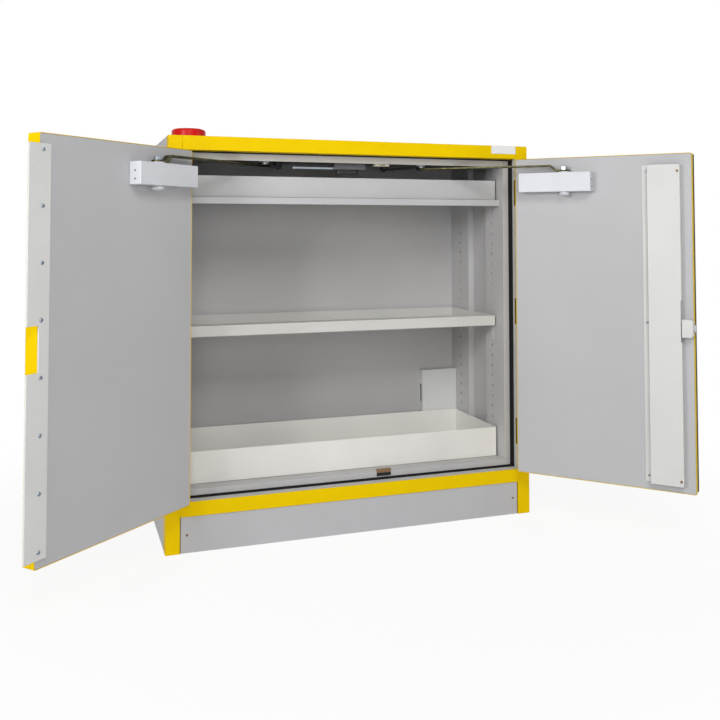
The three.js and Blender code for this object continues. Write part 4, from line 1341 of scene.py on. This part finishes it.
class BuildClosers(CabinetStep, bpy.types.Operator):
    """Makes the closers' casings, with their lower caps, and their spindles."""

    bl_idname = "cabinet.build_closers"
    bl_label = "Door closers"

    def execute(self, context):
        edge = sizes().closer_edge
        for side in (LEFT, RIGHT):
            word = WORD[side]
            space = door_space(side)
            low, high = local_box(f"{word}_closer_body", space)
            foot = low.z + LOWER_CAP_HEIGHT
            top = foot + CLOSER_HEIGHT
            x, y, _ = JOINTS[f"{word}_arm_spindle"]["pos_m"]
            axis = space.inverted() @ Vector((x, y, 0))
            place = space @ Matrix.Translation((axis.x, axis.y, 0))
            shell = bmesh.new()
            prism(shell, ((low.x, low.y, foot), (high.x, high.y, top)), edge, edge, space, 3)
            lathe(shell, near(0, low.z, *LOWER_CAP), place)
            lathe(shell, near(0, top, *BOSS), place)
            make(f"{word}_closer_casing", shell, f"{word}_closer_body")
            shell = bmesh.new()
            spindle = near(0, top, (4.9, 0)) + near(0, high.z, (4.9, -2.5))
            lathe(shell, spindle, place, SMALL_ROUND)
            lathe(shell, near(0, high.z, *HEX_HEAD), place, HEXAGON)
            make(f"{word}_closer_spindle", shell, edge=0.2 * MM, body=f"{word}_door",
                 slot="plated_steel", paint="screw_steel")
        return {"FINISHED"}


ELBOW_DISC_RADIUS = 11.0 * MM
# Radius and height in millimetres, up from the link's top
ELBOW_CAP = ((10.8, -4.2), (11.3, -3.8), (11.3, -0.5), (10.5, 0.25), (0.5, 0.3))


class BuildLinkages(CabinetStep, bpy.types.Operator):
    """Dresses the closers' arms, links and ceiling brackets, and caps their elbows."""

    bl_idname = "cabinet.build_linkages"
    bl_label = "Closer arms and links"

    def execute(self, context):
        for word in WORD.values():
            dress(f"{word}_closer_arm", f"{word}_closer_link", edge=0.6 * MM)
            # Painted shade: the ceiling brackets take the dark lacquer, for the shadow they sit in.
            dress(f"{word}_closer_bracket", edge=0.5 * MM, paint="dark_metal")
            self.cap_elbow(word)
        return {"FINISHED"}

    def cap_elbow(self, word):
        """Sets a white cap over the disc at a link's far end."""
        pivot = Vector(JOINTS[f"{word}_link_pivot"]["pos_m"][:2])
        points = [vertex.co for vertex in frame["nodes"][f"{word}_closer_link"].data.vertices]
        beam = max((point.xy - pivot for point in points), key=lambda way: way.length)
        middle = pivot + beam.normalized() * (beam.length - ELBOW_DISC_RADIUS)
        top = max(point.z for point in points if (point.xy - middle).length < beam.length / 2)
        cap = lathe(bmesh.new(), near(0, top, *ELBOW_CAP), Matrix.Translation((*middle, 0)))
        make(f"{word}_elbow_cap", cap, body=f"{word}_closer_link", slot="plated_steel",
             paint="closer_housing")


SCREW_RECESS = 0.5
SCREW_SLIT = 0.135
SCREW_SHARP = math.radians(40)
# Scales and levels of a screw head's rings, for a head of radius one
SCREW_DOME = ((1.0, 0.0), (1.0, 0.1), (0.93, 0.24), (0.8, 0.34), (0.62, 0.42))
SCREW_CROSS = ((1.0, 0.43), (0.7, 0.12))


def screw_template():
    """A domed head with a cross recess, of radius one, standing on the ground."""
    circle = [(math.cos(math.pi * index / 8), math.sin(math.pi * index / 8)) for index in range(16)]
    cross = []
    for quarter in range(4):
        turn = Matrix.Rotation(math.pi / 2 * quarter, 2)
        corners = ((SCREW_RECESS, 0), (SCREW_RECESS, SCREW_SLIT), (SCREW_SLIT, SCREW_SLIT),
                   (SCREW_SLIT, SCREW_RECESS))
        cross += [turn @ Vector(corner) for corner in corners]
    rings = [
        [(x * scale, y * scale, level) for x, y in outline]
        for outline, run in ((circle, SCREW_DOME), (cross, SCREW_CROSS)) for scale, level in run
    ]
    template = object_of("screw", loft(bmesh.new(), rings))
    template.data.shade_smooth()
    template.data.set_sharp_from_angle(angle=SCREW_SHARP)
    return template


def spaced(first, last, count):
    """Even steps from the first value to the last."""
    return [first + (last - first) * index / (count - 1) for index in range(count)]


SCREW_SINK = 0.1 * MM
STRIP_SCREW_HEIGHTS = spaced(129.5 * MM, 760.5 * MM, 8)
STRIP_SCREW_INSET = 5.1 * MM
COVER_SCREW_ALONG = 343.4 * MM
COVER_SCREW_HEIGHTS = (750.6 * MM, 129.6 * MM)
FLANGE_SCREW_ALONG = 279.0 * MM
FLANGE_SCREW_OFF = 1.7 * MM
FLANGE_SCREW_HEIGHTS = (751.0 * MM, 441.0 * MM, 130.6 * MM)
CLOSER_SCREW_RISES = (10.0 * MM, 25.0 * MM)
PLINTH_SCREWS = ((-358.0 * MM, 34.6 * MM), (359.5 * MM, 35.5 * MM))
BACK_WALL_SCREWS = ((-193.0 * MM, 781.0 * MM), (193.0 * MM, 781.0 * MM))
CASING_SCREW_INSET = 9.0 * MM


class BuildScrews(CabinetStep, bpy.types.Operator):
    """Drives the screws of the strip, the lock cover, the closers, the plinth and the casing."""

    bl_idname = "cabinet.build_screws"
    bl_label = "Screws"

    def execute(self, context):
        self.drive_into_doors()
        self.drive_into_cabinet()
        return {"FINISHED"}

    def drive(self, name, points, size, body, paint="screw_steel"):
        fixings(name, points, screw_template(), size, body, "plated_steel", paint)

    def on_door(self, side, along, off, heights, facing=(0, 1, 0)):
        """Places on a door at some heights, each with its facing."""
        space = door_space(side)
        way = (space.to_3x3() @ Vector(facing)).normalized()
        return [(space @ Vector((along, off, up)), way) for up in heights]

    def drive_into_doors(self):
        along = door_box(LEFT)[1].x - STRIP_SCREW_INSET
        off = local_box("centre_strip", door_space(LEFT))[1].y - SCREW_SINK
        points = self.on_door(LEFT, along, off, STRIP_SCREW_HEIGHTS)
        self.drive("strip_screws", points, sizes().strip_screw, "left_door")
        off = local_box("lock_cover", door_space(RIGHT))[1].y - SCREW_SINK
        points = self.on_door(RIGHT, COVER_SCREW_ALONG, off, COVER_SCREW_HEIGHTS)
        self.drive("cover_face_screws", points, sizes().cover_screw, "right_door", "brown_screw")
        points = self.on_door(RIGHT, FLANGE_SCREW_ALONG, FLANGE_SCREW_OFF, FLANGE_SCREW_HEIGHTS)
        self.drive("cover_flange_screws", points, sizes().cover_screw, "right_door")
        for side, word in WORD.items():
            low, high = local_box(f"{word}_closer_body", door_space(side))
            off = (low.y + high.y) / 2
            heights = [low.z + LOWER_CAP_HEIGHT + rise for rise in CLOSER_SCREW_RISES]
            points = self.on_door(side, low.x + SCREW_SINK, off, heights, (-1, 0, 0))
            points += self.on_door(side, high.x - SCREW_SINK, off, heights, (1, 0, 0))
            size = sizes().closer_screw
            self.drive(f"{word}_closer_screws", points, size, f"{word}_door", "dark_screw")

    def drive_into_cabinet(self):
        low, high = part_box("back_panel")
        edge = CASING_SCREW_INSET
        x0, x1, z0, z1 = low.x + edge, high.x - edge, low.z + edge, high.z - edge
        casing = [(x, z) for z in spaced(z0, z1, 6) for x in (x0, x1)]
        casing += [(x, z) for x in spaced(x0, x1, 6)[1:-1] for z in (z0, z1)]
        plinth_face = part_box("plinth_panel")[0].y
        for name, places, y, way, paint in (
            ("plinth_screws", PLINTH_SCREWS, plinth_face, -1, "brown_screw"),
            ("back_wall_screws", BACK_WALL_SCREWS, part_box("back_liner")[0].y, -1, "screw_steel"),
            ("back_panel_screws", casing, high.y, 1, "screw_steel"),
        ):
            points = [((x, y - way * SCREW_SINK, z), (0, way, 0)) for x, z in places]
            self.drive(name, points, sizes().panel_screw, "cabinet", paint)


PLATE_MIDDLE = (341.0 * MM, 810.7 * MM)
PLATE_THICKNESS = 0.5 * MM
PLATE_CORNER = 1.0 * MM
PLATE_EDGE = 0.2 * MM


class BuildPlate(CabinetStep, bpy.types.Operator):
    """Fixes the blank plate to the top rail."""

    bl_idname = "cabinet.build_plate"
    bl_label = "Blank plate"

    def execute(self, context):
        x, z = PLATE_MIDDLE
        half = sizes().plate_width / 2
        rise = sizes().plate_height / 2
        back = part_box("top_rail")[0].y
        box = ((x - half, z - rise, back - PLATE_THICKNESS), (x + half, z + rise, back))
        plate = prism(bmesh.new(), box, PLATE_CORNER, PLATE_EDGE, UPRIGHT)
        make("blank_plate", plate, body="cabinet", slot="white_paint", paint="blank_plate")
        return {"FINISHED"}


# Stage

CAMERA_PLACE = (-0.597584, -1.756719, 0.632569)
CAMERA_YAW = math.radians(18.93168)
CAMERA_PITCH = math.radians(2.235618)
CAMERA_ROLL = math.radians(-0.048524)
FLOOR_HALF = 12.0
FLOOR_SINK = 0.4 * MM
FLOOR_SHADOW_REACH = (0.5, 1.3)
FLOOR_LEAST_WHITE = 0.9
LAMP_TARGET = Vector((0.0, 0.0, 0.45))
LAMP_ASPECT = 0.8
# Each lamp's place and width in metres
LAMPS = {
    "key": ((-0.32, -2.08, 2.01), 1.05),
    "front": ((-0.6, -3.2, 0.8), 1.4),
    "left": ((-1.9, -1.4, 1.1), 0.6),
    "right": ((2.3, -1.4, 1.4), 0.9),
    "rear": ((0.7, 3.2, 1.7), 1.3),
}


class BuildStage(CabinetStep, bpy.types.Operator):
    """Lays the floor and sets the lamps, the room's light and the camera."""

    bl_idname = "cabinet.build_stage"
    bl_label = "Stage"

    def execute(self, context):
        settings = context.scene.cabinet_stage
        self.lay_floor(settings)
        self.light_room(context, settings)
        for name, (place, size) in LAMPS.items():
            self.lamp(f"{name}_lamp", place, size, getattr(settings, f"{name}_power"))
        self.set_camera(context, settings)
        context.scene.view_settings.view_transform = "Standard"
        return {"FINISHED"}

    def lay_floor(self, settings):
        """Lays a pale floor that keeps the cabinet's shadow and is plain white further out."""
        low, high = -FLOOR_HALF, FLOOR_HALF
        corners = ((low, low), (high, low), (high, high), (low, high))
        shell = bmesh.new()
        face(shell, [(x, y, -FLOOR_SINK) for x, y in corners])
        floor = object_of("floor", shell)
        work = Finish("Pale floor")
        work.give(Base_Color=linear(settings.floor_colour), Roughness=0.9, Specular_IOR_Level=0.1)
        away = work.out("ShaderNodeVectorMath", "Value", {0: work.place}, operation="LENGTH")
        start, end = FLOOR_SHADOW_REACH
        fade = work.out("ShaderNodeMapRange", "Result", {
            "Value": away, "From Min": start, "From Max": end, "To Min": FLOOR_LEAST_WHITE,
            "To Max": 1.0,
        }, interpolation_type="SMOOTHSTEP")
        part = work.out("ShaderNodeMath", "Value", {0: fade, 1: work.shown()}, operation="MULTIPLY")
        white = work.out("ShaderNodeEmission", "Emission", {"Color": (1, 1, 1, 1), "Strength": 1.0})
        both = {0: part, 1: work.shader.outputs["BSDF"], 2: white}
        surface = work.tree.nodes["Material Output"].inputs["Surface"]
        work.put(surface, work.out("ShaderNodeMixShader", "Shader", both))
        floor.data.materials.append(work.material)
        floor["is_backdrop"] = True

    def light_room(self, context, settings):
        """Lights the cabinet with a weak white room, which shows white itself."""
        world = bpy.data.worlds.new("Room")
        world.use_nodes = True
        context.scene.world = world
        work = NodeWork(world.node_tree)
        ground = work.tree.nodes["Background"].inputs
        ground["Color"].default_value = (1, 1, 1, 1)
        ends = {"Value": work.shown(), "To Min": settings.fill, "To Max": 1.0}
        work.put(ground["Strength"], work.out("ShaderNodeMapRange", "Result", ends))

    def lamp(self, name, place, size, power):
        light = bpy.data.lights.new(name, "AREA")
        light.shape = "RECTANGLE"
        light.size = size
        light.size_y = size * LAMP_ASPECT
        light.energy = power
        made = new_object(name, light)
        turn = (LAMP_TARGET - Vector(place)).to_track_quat("-Z", "Y").to_matrix().to_4x4()
        made.matrix_world = Matrix.Translation(place) @ turn

    def set_camera(self, context, settings):
        lens = bpy.data.cameras.new("camera")
        lens.sensor_width = 36.0
        lens.lens = settings.lens
        lens.shift_y = settings.lens_shift
        lens.clip_end = 100.0
        camera = new_object("camera", lens)
        yaw = Matrix.Rotation(-CAMERA_YAW, 4, "Z")
        pitch = Matrix.Rotation(math.pi / 2 + CAMERA_PITCH, 4, "X")
        roll = Matrix.Rotation(CAMERA_ROLL, 4, "Z")
        camera.matrix_world = Matrix.Translation(CAMERA_PLACE) @ yaw @ pitch @ roll
        context.scene.camera = camera


# Add-on

STEPS = (
    BuildFrame, BuildCasing, BuildLining, BuildUprights, BuildSeal, BuildShelves, BuildVent,
    BuildStrikes, BuildCoordinator, BuildHinges, BuildDoors, BuildStrip, BuildLock, BuildHandle,
    BuildClosers, BuildLinkages, BuildScrews, BuildPlate, BuildStage,
)
GROUPS = {
    "cabinet_colours": CabinetColours, "cabinet_sizes": CabinetSizes, "cabinet_stage": CabinetStage,
}


class CabinetPanel(bpy.types.Panel):
    """Lists the cabinet's steps, colours and sizes."""

    bl_idname = "VIEW3D_PT_cabinet"
    bl_label = "Safety cabinet"
    bl_space_type = "VIEW_3D"
    bl_region_type = "UI"
    bl_category = "Cabinet"

    def draw(self, context):
        column = self.layout.column(align=True)
        for step in STEPS:
            column.operator(step.bl_idname)
        for title in GROUPS:
            group = getattr(context.scene, title)
            box = self.layout.box()
            box.label(text=title.removeprefix("cabinet_").capitalize())
            for name in group.__annotations__:
                box.prop(group, name)


CLASSES = (*GROUPS.values(), *STEPS, CabinetPanel)


def register():
    for item in CLASSES:
        bpy.utils.register_class(item)
    for name, group in GROUPS.items():
        setattr(bpy.types.Scene, name, PointerProperty(type=group))


def unregister():
    for name in GROUPS:
        delattr(bpy.types.Scene, name)
    for item in reversed(CLASSES):
        bpy.utils.unregister_class(item)


def plain(box):
    return [list(corner) for corner in box]


def main():
    register()
    for step in STEPS:
        group, name = step.bl_idname.split(".")
        getattr(getattr(bpy.ops, group), name)()
    {"cad": plain(CAD_BOX), "visual": plain(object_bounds())}


if __name__ == "__main__":
    main()
